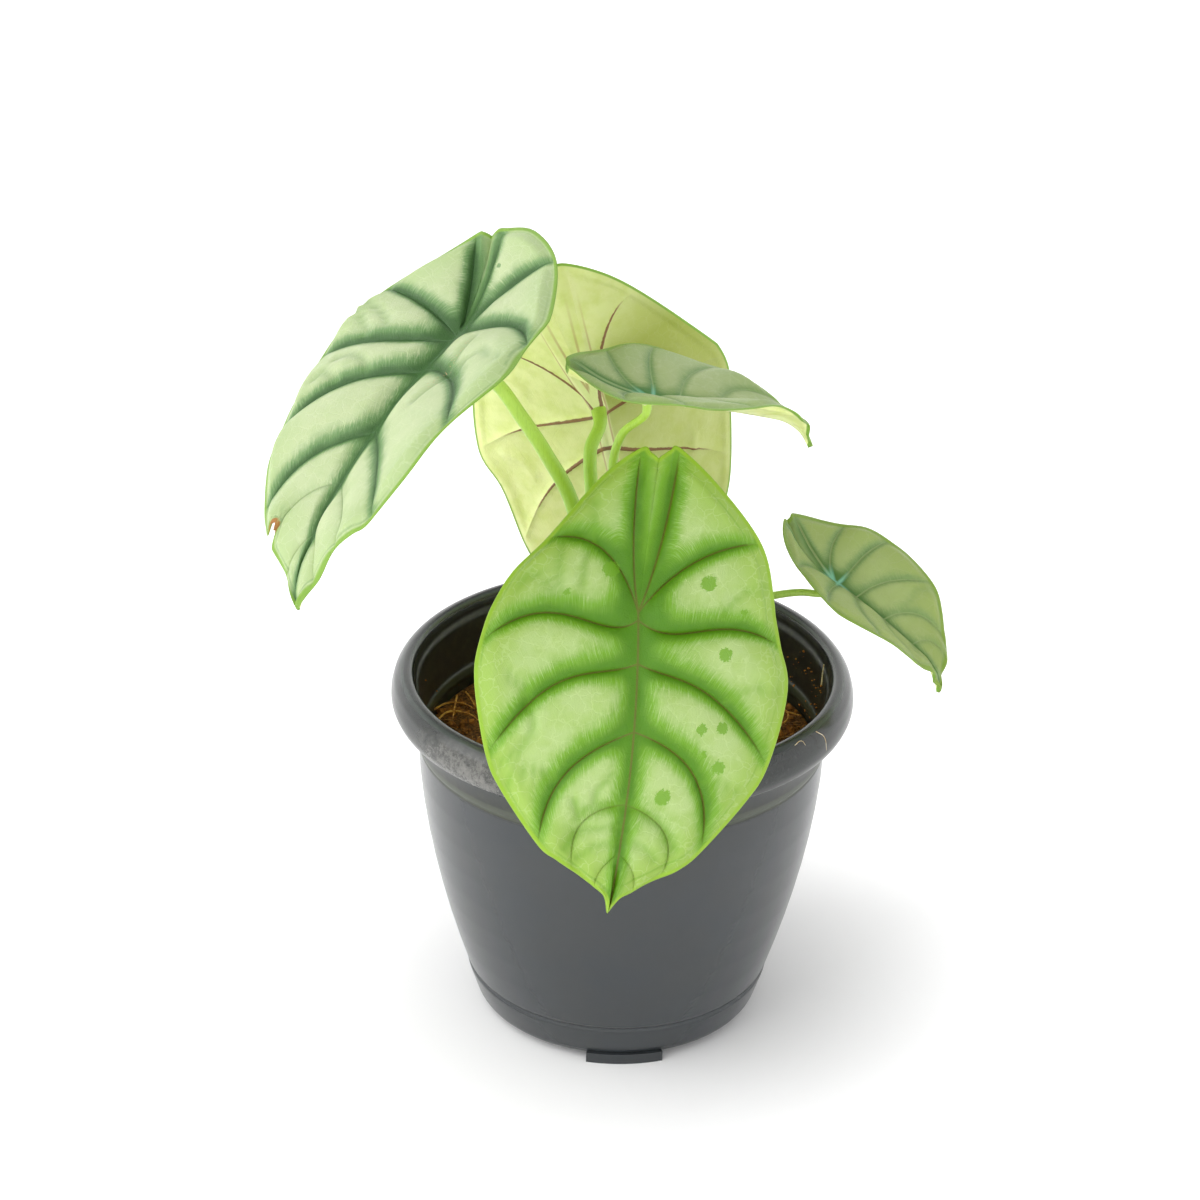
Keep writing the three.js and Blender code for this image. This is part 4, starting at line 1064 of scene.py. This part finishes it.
def half_values(leaf, side, grid, quilting, thickness):
    """What every point of one half carries, by name."""
    half = blade_half(leaf, side, *grid)
    places = np.stack([half["u"], half["v"]], -1).reshape(-1, 2)
    shape = half["u"].shape
    crease = np.full(len(places), 50.0)
    for chain in leaf.get("creases", []):
        crease = np.minimum(crease, distance_to(places, chain))
    half["crease"] = crease.reshape(shape)
    scar, dust = np.zeros(shape), np.zeros(shape)
    for u, v, radius in leaf.get("scars", []):
        far = np.hypot(half["u"] - u, half["v"] - v) / radius
        scar = np.maximum(scar, 1 - smoothstep(far, 0.3, 1.6))
    for chain in leaf.get("dust", []):
        dust = np.maximum(dust, np.exp(-(distance_to(places, chain) / 2.2) ** 2).reshape(shape))
    lift, rib = blade_relief(leaf, half, quilting)
    thick = thickness * (1 - 0.35 * half["out"]) / 2
    flow = np.stack([half["out"] * half["length"] + 0.3 * half["width"] * half["share"],
                     half["share"] * half["width"] + 40 * half["panel"],
                     np.full(shape, 50.0 * side)], -1)
    return {
        "u": half["u"], "v": half["v"], "lift": lift, "rib": rib,
        "half": thick * (1 - 0.35 * smoothstep(half["out"], 0.97, 1)),
        "halo": blade_halo(leaf, half), "edge": half["edge"],
        "cord": np.minimum(half["middle"], half["costa"]),
        "lateral": half["side_veins"].min(0), "out": half["out"],
        "crease": np.exp(-(half["crease"] / 1.1) ** 2), "scar": scar,
        "bitten": half["pulled"].astype(float), "flow": flow, "strength": half["strength"],
        "rim": np.abs(half["edge"] - leaf["rim"][1 if side > 0 else 0]),
        "painted_shade": blade_painted_shade(leaf, half), "dust": dust,
        "combed": np.where((half["panel"] == 0) | (half["line"] <= 1), 0.0, 1.0),
    }


def welded(halves):
    """Both halves on shared points: their values by name, the faces and the margin's edges."""
    keys, faces, margin = {}, [], []
    fields = {name: [] for name in halves[1]}
    for side, values in halves.items():
        shape = values["u"].shape
        index = np.zeros(shape, int)
        for spot in np.ndindex(shape):
            key = (round(float(values["u"][spot]), 3) + 0.0, round(float(values["v"][spot]), 3))
            if key not in keys:
                keys[key] = len(keys)
                for name, grid in values.items():
                    fields[name].append(grid[spot])
            index[spot] = keys[key]
        for i in range(shape[0] - 1):
            for j in range(shape[1] - 1):
                corners = (index[i, j], index[i, j + 1], index[i + 1, j + 1], index[i + 1, j])
                loop = [c for k, c in enumerate(corners) if c != corners[k - 1]]
                if len(loop) > 2:
                    faces.append(loop[::side])
            ends = (index[i, -1], index[i + 1, -1])
            if ends[0] != ends[1]:
                margin.append(ends[::side])
    return {name: np.array(values) for name, values in fields.items()}, faces, margin


def closed_shell(faces, ring, count):
    """Faces of the upper side, the lower side and the edge between them."""
    shell = list(faces) + [[c + count for c in loop[::-1]] for loop in faces]
    for k, here in enumerate(ring):
        there = ring[(k + 1) % len(ring)]
        low, high = 2 * count + k, 2 * count + (k + 1) % len(ring)
        shell.append([int(there), int(here), low, high])
        shell.append([high, low, int(here) + count, int(there) + count])
    return shell


def build_blade(name, leaf, settings):
    """One closed blade: both faces over the same net, and a rounded edge."""
    grid = (settings.columns, settings.rows)
    if not leaf["large"]:
        grid = (settings.columns * 2 // 3, settings.rows * 3 // 4)
    quilting = settings.quilting * leaf.get("quilt", 1.0 if leaf["large"] else 0.45)
    table, faces, margin = welded({
        side: half_values(leaf, side, grid, quilting, settings.blade_thickness)
        for side in (1, -1)})
    u, v = table.pop("u"), table.pop("v")
    lift, rib, half = table.pop("lift")[:, None], table.pop("rib"), table.pop("half")
    normal = blade_normals(leaf, u, v)
    middle = bend(leaf, u, v) + normal * lift
    upper = middle + normal * half[:, None]
    lower = middle - normal * (half + rib)[:, None]
    after = dict(margin)
    chain = [margin[0][0]]
    while after[chain[-1]] != chain[0]:
        chain.append(after[chain[-1]])
    ring = np.array(chain)
    forward = middle[np.roll(ring, -1)] - middle[np.roll(ring, 1)]
    outward = np.cross(forward, normal[ring])
    outward /= np.linalg.norm(outward, axis=1, keepdims=True)
    points = np.concatenate([upper, lower, middle[ring] + outward * EDGE_ROUND])
    count = len(u)
    piece = mesh_piece(f"leaf_{name}", point_at(points), closed_shell(faces, ring, count))
    order = np.concatenate([np.arange(count), np.arange(count), ring])
    for key, values in table.items():
        paint(piece, key, values[order])
    paint(piece, "joint", np.hypot(u, v)[order])
    paint(piece, "flat", np.stack([u, v, 0 * u], -1)[order])
    paint(piece, "under", np.concatenate([np.zeros(count), np.ones(count), np.zeros(len(ring))]))
    return piece


# Operators

class ALOCASIA_OT_pot(bpy.types.Operator):
    """Spin the nursery pot, add its foot tabs and cut its drain holes"""
    bl_idname = "alocasia.pot"
    bl_label = "Pot"

    @staticmethod
    def wall_radius(z):
        share = (z - WALL_FOOT[1]) / (WALL_TOP[1] - WALL_FOOT[1])
        return WALL_FOOT[0] + (WALL_TOP[0] - WALL_FOOT[0]) * (1 - (1 - share) ** WALL_BULGE)

    def profile(self):
        heights = np.linspace(WALL_FOOT[1], WALL_TOP[1], 9)
        foot = [(0, FLOOR_UNDERSIDE), (36.5, FLOOR_UNDERSIDE), (38, 2.4), (41.3, 2.4),
                (42.2, 3.6), (45, 12.4), (44.5, 13.2)]
        wall = [(self.wall_radius(z), float(z)) for z in heights]
        rim = RIM_RADIUS
        collar = [(58.7, 86.4), (59.6, 87.6), (60.6, 97.4), (rim - 3.3, 96.0), (rim - 1.0, 97.4),
                  (rim, 99.8), (rim - 0.1, 102.4), (rim - 1.0, 105.6), (rim - 2.7, 107.8),
                  (rim - 4.6, POT_HEIGHT), (rim - 6.1, 107.9), (rim - 6.8, 106.2),
                  (rim - 7.0, 104.2)]
        ledges = [(58.5, 103.2), (57.6, 89.4), (56.8, 88.6), (56.7, 86.2), (57.1, 85.4)]
        inner = [(self.wall_radius(z) - WALL_THICKNESS, float(z)) for z in heights[::-1][1:]]
        return foot + wall + collar + ledges + inner + [(41.8, 8.6), (40.2, FLOOR_TOP),
                                                        (0, FLOOR_TOP)]

    def foot_tab(self, angle):
        low, high = 0.0, FOOT_TAB["height"]
        inner, outer = FOOT_TAB["inner"], FOOT_TAB["outer"]
        outline = [(inner, low), (outer, low), (outer, high), (inner, high), (inner, low)]
        tab = spun("tab", outline, 10, FOOT_TAB["width"], angle + FOOT_TAB["width"] / 2)
        bpy.ops.object.mode_set(mode="EDIT")
        bpy.ops.mesh.select_all(action="SELECT")
        bpy.ops.mesh.fill_holes(sides=4)
        bpy.ops.mesh.normals_make_consistent(inside=False)
        bpy.ops.object.mode_set(mode="OBJECT")
        return tab

    def execute(self, context):
        settings = context.scene.alocasia_pot
        pot = spun("pot_shell", rounded(self.profile(), 0.9), settings.sides)
        for i in range(FOOT_TAB["count"]):
            cut_with(pot, self.foot_tab(FOOT_TAB["first"] + 360 * i / FOOT_TAB["count"]), "UNION")
        holes = [(DRAIN["centre"], 0.0, 0.0)]
        for i in range(DRAIN["count"]):
            holes.append((DRAIN["radius"], DRAIN["ring"], 2 * math.pi * i / DRAIN["count"]))
        for radius, ring, angle in holes:
            clear_selection()
            bpy.ops.mesh.primitive_cylinder_add(
                vertices=32, radius=radius * MM, depth=FLOOR_TOP * MM,
                location=point_at((ring * math.cos(angle), ring * math.sin(angle), FLOOR_TOP)))
            cut_with(pot, context.active_object, "DIFFERENCE")
        smooth_shaded(pot, 32)
        places = np.array([vertex.co for vertex in pot.data.vertices]) / MM
        far = np.hypot(places[:, 0] - AXIS[0] / MM, places[:, 1] - AXIS[1] / MM)
        height = places[:, 2]
        wall = self.wall_radius(np.minimum(height, WALL_TOP[1]))
        skin = np.where(height > WALL_TOP[1], RIM_RADIUS - LIP, wall - WALL_THICKNESS + 0.9)
        paint(pot, "inside", (far < skin) & (height > FLOOR_UNDERSIDE + 0.5))
        finish_piece(pot, "pot_body", "pot", pot_material(settings), ["pot"])
        return {"FINISHED"}


class ALOCASIA_OT_soil(bpy.types.Operator):
    """Spin the soil inside the pot, heave its top and strew crumbs, fibres and roots on it"""
    bl_idname = "alocasia.soil"
    bl_label = "Soil"

    def bed(self):
        wall = ALOCASIA_OT_pot.wall_radius
        edge = wall(SOIL_LEVEL) - WALL_THICKNESS - 0.25
        profile = list(SOIL_FOOT)
        profile += [(wall(z) - WALL_THICKNESS - 0.35, float(z)) for z in (14.2, 36, 58, 80)]
        profile += [(float(r), SOIL_LEVEL) for r in np.linspace(edge, 0, 84)]
        soil = spun("soil", profile, 200)
        places = np.empty(len(soil.data.vertices) * 3)
        soil.data.vertices.foreach_get("co", places)
        places = places.reshape(-1, 3)
        for place in places[places[:, 2] > (SOIL_LEVEL - 0.5) * MM]:
            x, y = (place[:2] - AXIS[:2]) / MM
            broad = math.sin(0.09 * x + 0.7) * math.cos(0.11 * y - 0.4)
            here = Vector((x, y, 0))
            clods = noise.fractal(here / 7.0, 0.9, 2.1, 5)
            lumps = abs(noise.noise(here / 2.6)) * 1.6
            grit = noise.noise(here / 0.9) * 0.35
            reach = edge - math.hypot(x, y)
            lift = SOIL_BUMP * 0.7 * broad + 1.3 * clods + lumps + grit - 0.6
            place[2] += lift * min(1.0, 0.25 + reach / 6) * MM
        soil.data.vertices.foreach_set("co", places.ravel())
        paint(soil, "tone", np.zeros(len(places)))
        soil.data.update()
        smooth_shaded(soil)
        return soil

    def strewn(self, name, shapes, triangles, tones):
        """One piece of many small shapes that all have the same triangles."""
        corners = len(shapes[0])
        faces = [np.array(triangles) + corners * k for k in range(len(shapes))]
        piece = mesh_piece(name, point_at(np.concatenate(shapes)), np.concatenate(faces).tolist())
        paint(piece, "tone", np.repeat(tones, corners))
        return piece

    def crumbs(self, ground, count, draw):
        clear_selection()
        bpy.ops.mesh.primitive_ico_sphere_add(subdivisions=1, radius=1.0, location=(0, 0, 0))
        seed_piece = bpy.context.active_object
        corners = np.array([v.co for v in seed_piece.data.vertices])
        triangles = [list(p.vertices) for p in seed_piece.data.polygons]
        bpy.data.objects.remove(seed_piece)
        shapes, tones = [], []
        for _ in range(count):
            angle = draw.uniform(0, 2 * math.pi)
            far = CRUMB_REACH * math.sqrt(draw.random())
            size = 0.35 + 1.5 * draw.random() ** 3
            spot = ground(far * math.cos(angle), far * math.sin(angle))
            if spot is None:
                continue
            stretch = [size * draw.uniform(0.6, 1.3) for _ in range(3)]
            turn = np.array(Matrix.Rotation(draw.uniform(0, 6.28), 3, Vector(
                (draw.gauss(0, 1), draw.gauss(0, 1), draw.gauss(0, 1))).normalized()))
            rough = 1 + np.array([draw.uniform(-0.28, 0.28) for _ in corners])[:, None]
            shapes.append((corners * rough * stretch) @ turn + spot + (0, 0, size * 0.25))
            tones.append(draw.random() ** 2)
        return self.strewn("soil_crumbs", shapes, triangles, tones)

    def wall_specks(self, count, draw):
        """Orange crumbs stuck to the inside of the pot above the soil."""
        corners = np.array([(1, 0, 0), (-0.8, 0.7, 0.1), (-0.6, -0.8, 0), (0.1, 0, 0.9),
                            (0, 0.1, -0.8)])
        triangles = [(0, 1, 3), (1, 2, 3), (2, 0, 3), (1, 0, 4), (2, 1, 4), (0, 2, 4)]
        shapes = []
        for k in range(count):
            angle = math.radians(draw.gauss(12, 26) if k % 3 else draw.uniform(0, 360))
            z = 84.5 + 19.0 * draw.random() ** 1.8
            size = draw.uniform(0.15, 0.55) * (1.3 if z < 90 else 0.8)
            centre = (SPECK_RADIUS * math.cos(angle), SPECK_RADIUS * math.sin(angle), z)
            shapes.append(corners * size * draw.uniform(0.7, 1.2) + centre)
        return self.strewn("wall_crumbs", shapes, triangles, np.ones(count))

    def thread(self, points, radius, resolution):
        """A thin thread through points in millimetres, by a bezier curve made a mesh."""
        clear_selection()
        bpy.ops.curve.primitive_bezier_curve_add(location=(0, 0, 0))
        curve = bpy.context.active_object
        spline = curve.data.splines[0]
        spline.bezier_points.add(len(points) - 2)
        for knot, place, share in zip(spline.bezier_points, point_at(points),
                                      np.linspace(0, 1, len(points))):
            knot.co = place
            knot.handle_left_type = knot.handle_right_type = "AUTO"
            knot.radius = 1 - 0.5 * float(share)
        curve.data.dimensions = "3D"
        curve.data.bevel_depth = radius * MM
        curve.data.bevel_resolution = 1
        curve.data.resolution_u = resolution
        curve.data.use_fill_caps = True
        bpy.ops.object.convert(target="MESH")
        return bpy.context.active_object

    def fibre_paths(self, ground, count, draw):
        for _ in range(count):
            angle = draw.uniform(0, 2 * math.pi)
            far = FIBRE_REACH * math.sqrt(draw.random())
            x, y = far * math.cos(angle), far * math.sin(angle)
            heading = draw.uniform(0, 2 * math.pi)
            step = draw.uniform(1.2, 3.6)
            path = []
            for k in range(4):
                spot = ground(x, y)
                if spot is None:
                    break
                path.append(spot + (0, 0, draw.uniform(0.2, 1.3)))
                heading += draw.gauss(0, 0.6)
                x += step * math.cos(heading)
                y += step * math.sin(heading)
            if len(path) > 2:
                yield path

    def joined(self, pieces, name):
        clear_selection()
        for piece in pieces:
            piece.select_set(True)
        bpy.context.view_layer.objects.active = pieces[0]
        bpy.ops.object.join()
        bpy.context.active_object.name = name
        return bpy.context.active_object

    def execute(self, context):
        settings = context.scene.alocasia_soil
        draw = random.Random(settings.seed)
        soil = self.bed()
        tree = BVHTree.FromObject(soil, context.evaluated_depsgraph_get())

        def ground(x, y):
            start = Vector(point_at((x, y, 120.0)))
            hit = tree.ray_cast(start, Vector((0, 0, -1)))[0]
            if hit is None or math.hypot(x, y) < CROWN_RADIUS:
                return None
            return (np.array(hit) - AXIS) / MM

        earth = soil_material("Potting Mix", "84592e", "3a2410", "a0662f")
        crumb = soil_material("Coir Crumbs", "916030", "4a2c14", "c88438")
        finish_piece(soil, "soil_bed", "soil", earth, ["soil"])
        crumbs = self.crumbs(ground, settings.crumbs, draw)
        finish_piece(crumbs, "soil_crumbs", "soil", crumb)
        specks = self.wall_specks(150, draw)
        finish_piece(specks, "wall_crumbs", "soil", crumb)
        fibres = [self.thread(path, draw.uniform(0.09, 0.2), 3)
                  for path in self.fibre_paths(ground, settings.fibres, draw)]
        golden = [self.thread([(x, y, 84.6 + 0.5 * (k % 2)) for k, (x, y) in enumerate(root)],
                              0.34, 5) for root in GOLDEN_ROOTS]
        pale = [self.thread(hair, radius, 5) for radius, hair in HAIRS]
        for name, threads, finish, light, dark in (
                ("coir_fibres", fibres, "Coir Fibre", "b98a4a", "6b4222"),
                ("golden_roots", golden, "Fine Root", "e0aa4e", "a86e22"),
                ("pale_hairs", pale, "Pale Fibre", "e6dcc2", "c2a877")):
            piece = self.joined(threads, name)
            finish_piece(piece, name, "soil", thread_material(finish, light, dark))
        return {"FINISHED"}


class ALOCASIA_OT_crown(bpy.types.Operator):
    """Spin the crown of sheathed stalk bases and give it its lobes"""
    bl_idname = "alocasia.crown"
    bl_label = "Crown"

    def execute(self, context):
        crown = spun("crown", rounded(CROWN_OUTLINE, 2.0), 72)
        for vertex in crown.data.vertices:
            x, y = vertex.co.x - AXIS[0], vertex.co.y - AXIS[1]
            angle = math.atan2(y, x)
            far = 1 + 0.035 * math.cos(5 * angle) + 0.012 * math.sin(17 * angle)
            vertex.co.x, vertex.co.y = AXIS[0] + x * far, AXIS[1] + y * far
        crown.data.update()
        smooth_shaded(crown)
        finish_piece(crown, "crown_base", "crown", crown_material(), ["crown"])
        return {"FINISHED"}


class ALOCASIA_OT_stalks(bpy.types.Operator):
    """Draw each stalk as a bezier curve from the crown to its blade and make it a mesh"""
    bl_idname = "alocasia.stalks"
    bl_label = "Stalks"

    def path(self, name):
        stalk, leaf = STALKS[name], LEAVES[name]
        normal = leaf_axes(leaf)[2]
        joint = np.array(leaf["joint"], float)
        foot = (*stalk["foot"], CROWN_TOP - 3.0)
        rise = (*stalk["foot"], CROWN_TOP + 5.3)
        seat = 1.2
        return [foot, rise, *stalk["way"], tuple(joint - normal * (seat + 1.7 + stalk["lead"])),
                tuple(joint - normal * seat)]

    def build(self, name):
        places = point_at(self.path(name))
        steps = np.linalg.norm(np.diff(places, axis=0), axis=1)
        along = np.concatenate([[0], np.cumsum(steps)])
        clear_selection()
        bpy.ops.curve.primitive_bezier_curve_add(location=(0, 0, 0))
        curve = bpy.context.active_object
        spline = curve.data.splines[0]
        spline.bezier_points.add(len(places) - 2)
        first, last = STALKS[name]["radii"]
        height, reach = STALK_FLARE
        for i, knot in enumerate(spline.bezier_points):
            before = steps[max(i - 1, 0)]
            after = steps[min(i, len(steps) - 1)]
            low, high = max(i - 1, 0), min(i + 1, len(places) - 1)
            slope = Vector(places[high] - places[low]).normalized()
            knot.handle_left_type = knot.handle_right_type = "FREE"
            knot.co = places[i]
            knot.handle_left = knot.co - slope * before / 3
            knot.handle_right = knot.co + slope * after / 3
            share = along[i] / along[-1]
            flare = height * math.exp(-((along[i] / MM / reach) ** 2))
            knot.radius = (first + (last - first) * share + flare) / first
        spline.bezier_points[-1].radius *= 1.25
        curve.data.dimensions = "3D"
        curve.data.bevel_depth = first * MM
        curve.data.bevel_resolution = 7
        curve.data.resolution_u = 22
        curve.data.use_fill_caps = True
        bpy.ops.object.convert(target="MESH")
        piece = bpy.context.active_object
        smooth_shaded(piece, 60)
        return piece

    def execute(self, context):
        material = stalk_material()
        for name in STALKS:
            finish_piece(self.build(name), f"stalk_{name}", "stalk", material,
                         [f"petiole_{name}"])
        return {"FINISHED"}


class ALOCASIA_OT_blades(bpy.types.Operator):
    """Lay out each blade over its net of veins, quilt it and bend it into its place"""
    bl_idname = "alocasia.blades"
    bl_label = "Blades"

    def execute(self, context):
        settings = context.scene.alocasia_plant
        for name, leaf in LEAVES.items():
            piece = build_blade(name, leaf, settings)
            smooth_shaded(piece)
            palette = PALETTES[name]
            material = blade_material(name, palette, not leaf["large"])
            finish_piece(piece, f"leaf_{name}", palette["slot"], material, [f"blade_{name}"])
        return {"FINISHED"}


class ALOCASIA_OT_studio(bpy.types.Operator):
    """Set up the seamless pale floor, the soft light and the camera"""
    bl_idname = "alocasia.studio"
    bl_label = "Studio"

    def floor(self, colour):
        """The floor glows a little away from the pot, as the photo's white ground does."""
        floor = spun("studio_floor", rounded(FLOOR_OUTLINE, 300.0, 6), 96)
        select_only(floor)
        bpy.ops.object.mode_set(mode="EDIT")
        bpy.ops.mesh.select_all(action="SELECT")
        bpy.ops.mesh.flip_normals()
        bpy.ops.object.mode_set(mode="OBJECT")
        smooth_shaded(floor)
        material, graph, shader = new_material("Studio Floor")
        graph.feed(shader.inputs["Base Color"], (*colour, 1.0))
        set_inputs(shader, Roughness=0.75, Specular_IOR_Level=0.1)
        far = graph.node("ShaderNodeVectorMath", operation="LENGTH")
        graph.feed(far.inputs[0], graph.place())
        graph.feed(shader.inputs["Emission Color"],
                   graph.mix(graph.ramp(far.outputs["Value"], FLOOR_GLOW["start"],
                                        FLOOR_GLOW["full"]), "000000", FLOOR_GLOW["colour"]))
        set_inputs(shader, Emission_Strength=1.0)
        floor.data.materials.append(material)

    def key_light(self, power):
        clear_selection()
        bpy.ops.object.light_add(type="AREA", location=point_at(KEY_LIGHT["place"]))
        lamp = bpy.context.active_object
        lamp.name = "key_light"
        lamp.data.shape = "RECTANGLE"
        lamp.data.size = lamp.data.size_y = KEY_LIGHT["side"]
        lamp.data.energy = power
        aim = Vector(point_at(KEY_LIGHT["target"])) - lamp.location
        lamp.rotation_euler = aim.to_track_quat("-Z", "Y").to_euler()

    def camera(self, lens):
        clear_selection()
        bpy.ops.object.camera_add(location=point_at(CAMERA["place"]))
        camera = bpy.context.active_object
        camera.name = "photo_camera"
        camera.data.lens = lens
        camera.data.sensor_width = 36.0
        camera.data.clip_start = 0.05
        pitch, turn, roll = (math.radians(CAMERA[key]) for key in ("pitch", "turn", "roll"))
        aim = (Matrix.Rotation(turn, 3, "Z") @ Matrix.Rotation(math.pi / 2 - pitch, 3, "X")
               @ Matrix.Rotation(roll, 3, "Z"))
        camera.rotation_euler = aim.to_euler()
        bpy.context.scene.camera = camera

    def execute(self, context):
        settings = context.scene.alocasia_studio
        world = bpy.data.worlds.new("Studio World")
        world.use_nodes = True
        set_inputs(world.node_tree.nodes["Background"], Color=(1, 1, 1, 1),
                   Strength=settings.sky_strength)
        context.scene.world = world
        self.floor(tuple(settings.floor_colour))
        self.key_light(settings.key_power)
        self.camera(settings.lens)
        context.scene.view_settings.view_transform = "Standard"
        return {"FINISHED"}


class ALOCASIA_PT_panel(bpy.types.Panel):
    """Lists the steps that build the plant and their settings"""
    bl_idname = "ALOCASIA_PT_panel"
    bl_label = "Alocasia"
    bl_space_type = "VIEW_3D"
    bl_region_type = "UI"
    bl_category = "Alocasia"

    def draw(self, context):
        for operator in OPERATORS:
            self.layout.operator(operator.bl_idname)
        for key, group in SETTINGS.items():
            box = self.layout.box()
            for name in group.__annotations__:
                box.prop(getattr(context.scene, key), name)


OPERATORS = (
    ALOCASIA_OT_studio,
    ALOCASIA_OT_pot,
    ALOCASIA_OT_soil,
    ALOCASIA_OT_crown,
    ALOCASIA_OT_stalks,
    ALOCASIA_OT_blades,
)


def register():
    for group in SETTINGS.values():
        bpy.utils.register_class(group)
    for key, group in SETTINGS.items():
        setattr(bpy.types.Scene, key, bpy.props.PointerProperty(type=group))
    for operator in OPERATORS:
        bpy.utils.register_class(operator)
    bpy.utils.register_class(ALOCASIA_PT_panel)


def unregister():
    bpy.utils.unregister_class(ALOCASIA_PT_panel)
    for operator in reversed(OPERATORS):
        bpy.utils.unregister_class(operator)
    for key, group in SETTINGS.items():
        delattr(bpy.types.Scene, key)
        bpy.utils.unregister_class(group)


def main():
    register()
    bpy.ops.alocasia.studio()
    bpy.ops.alocasia.pot()
    bpy.ops.alocasia.soil()
    bpy.ops.alocasia.crown()
    bpy.ops.alocasia.stalks()
    bpy.ops.alocasia.blades()
    clear_selection()


if __name__ == "__main__":
    main()
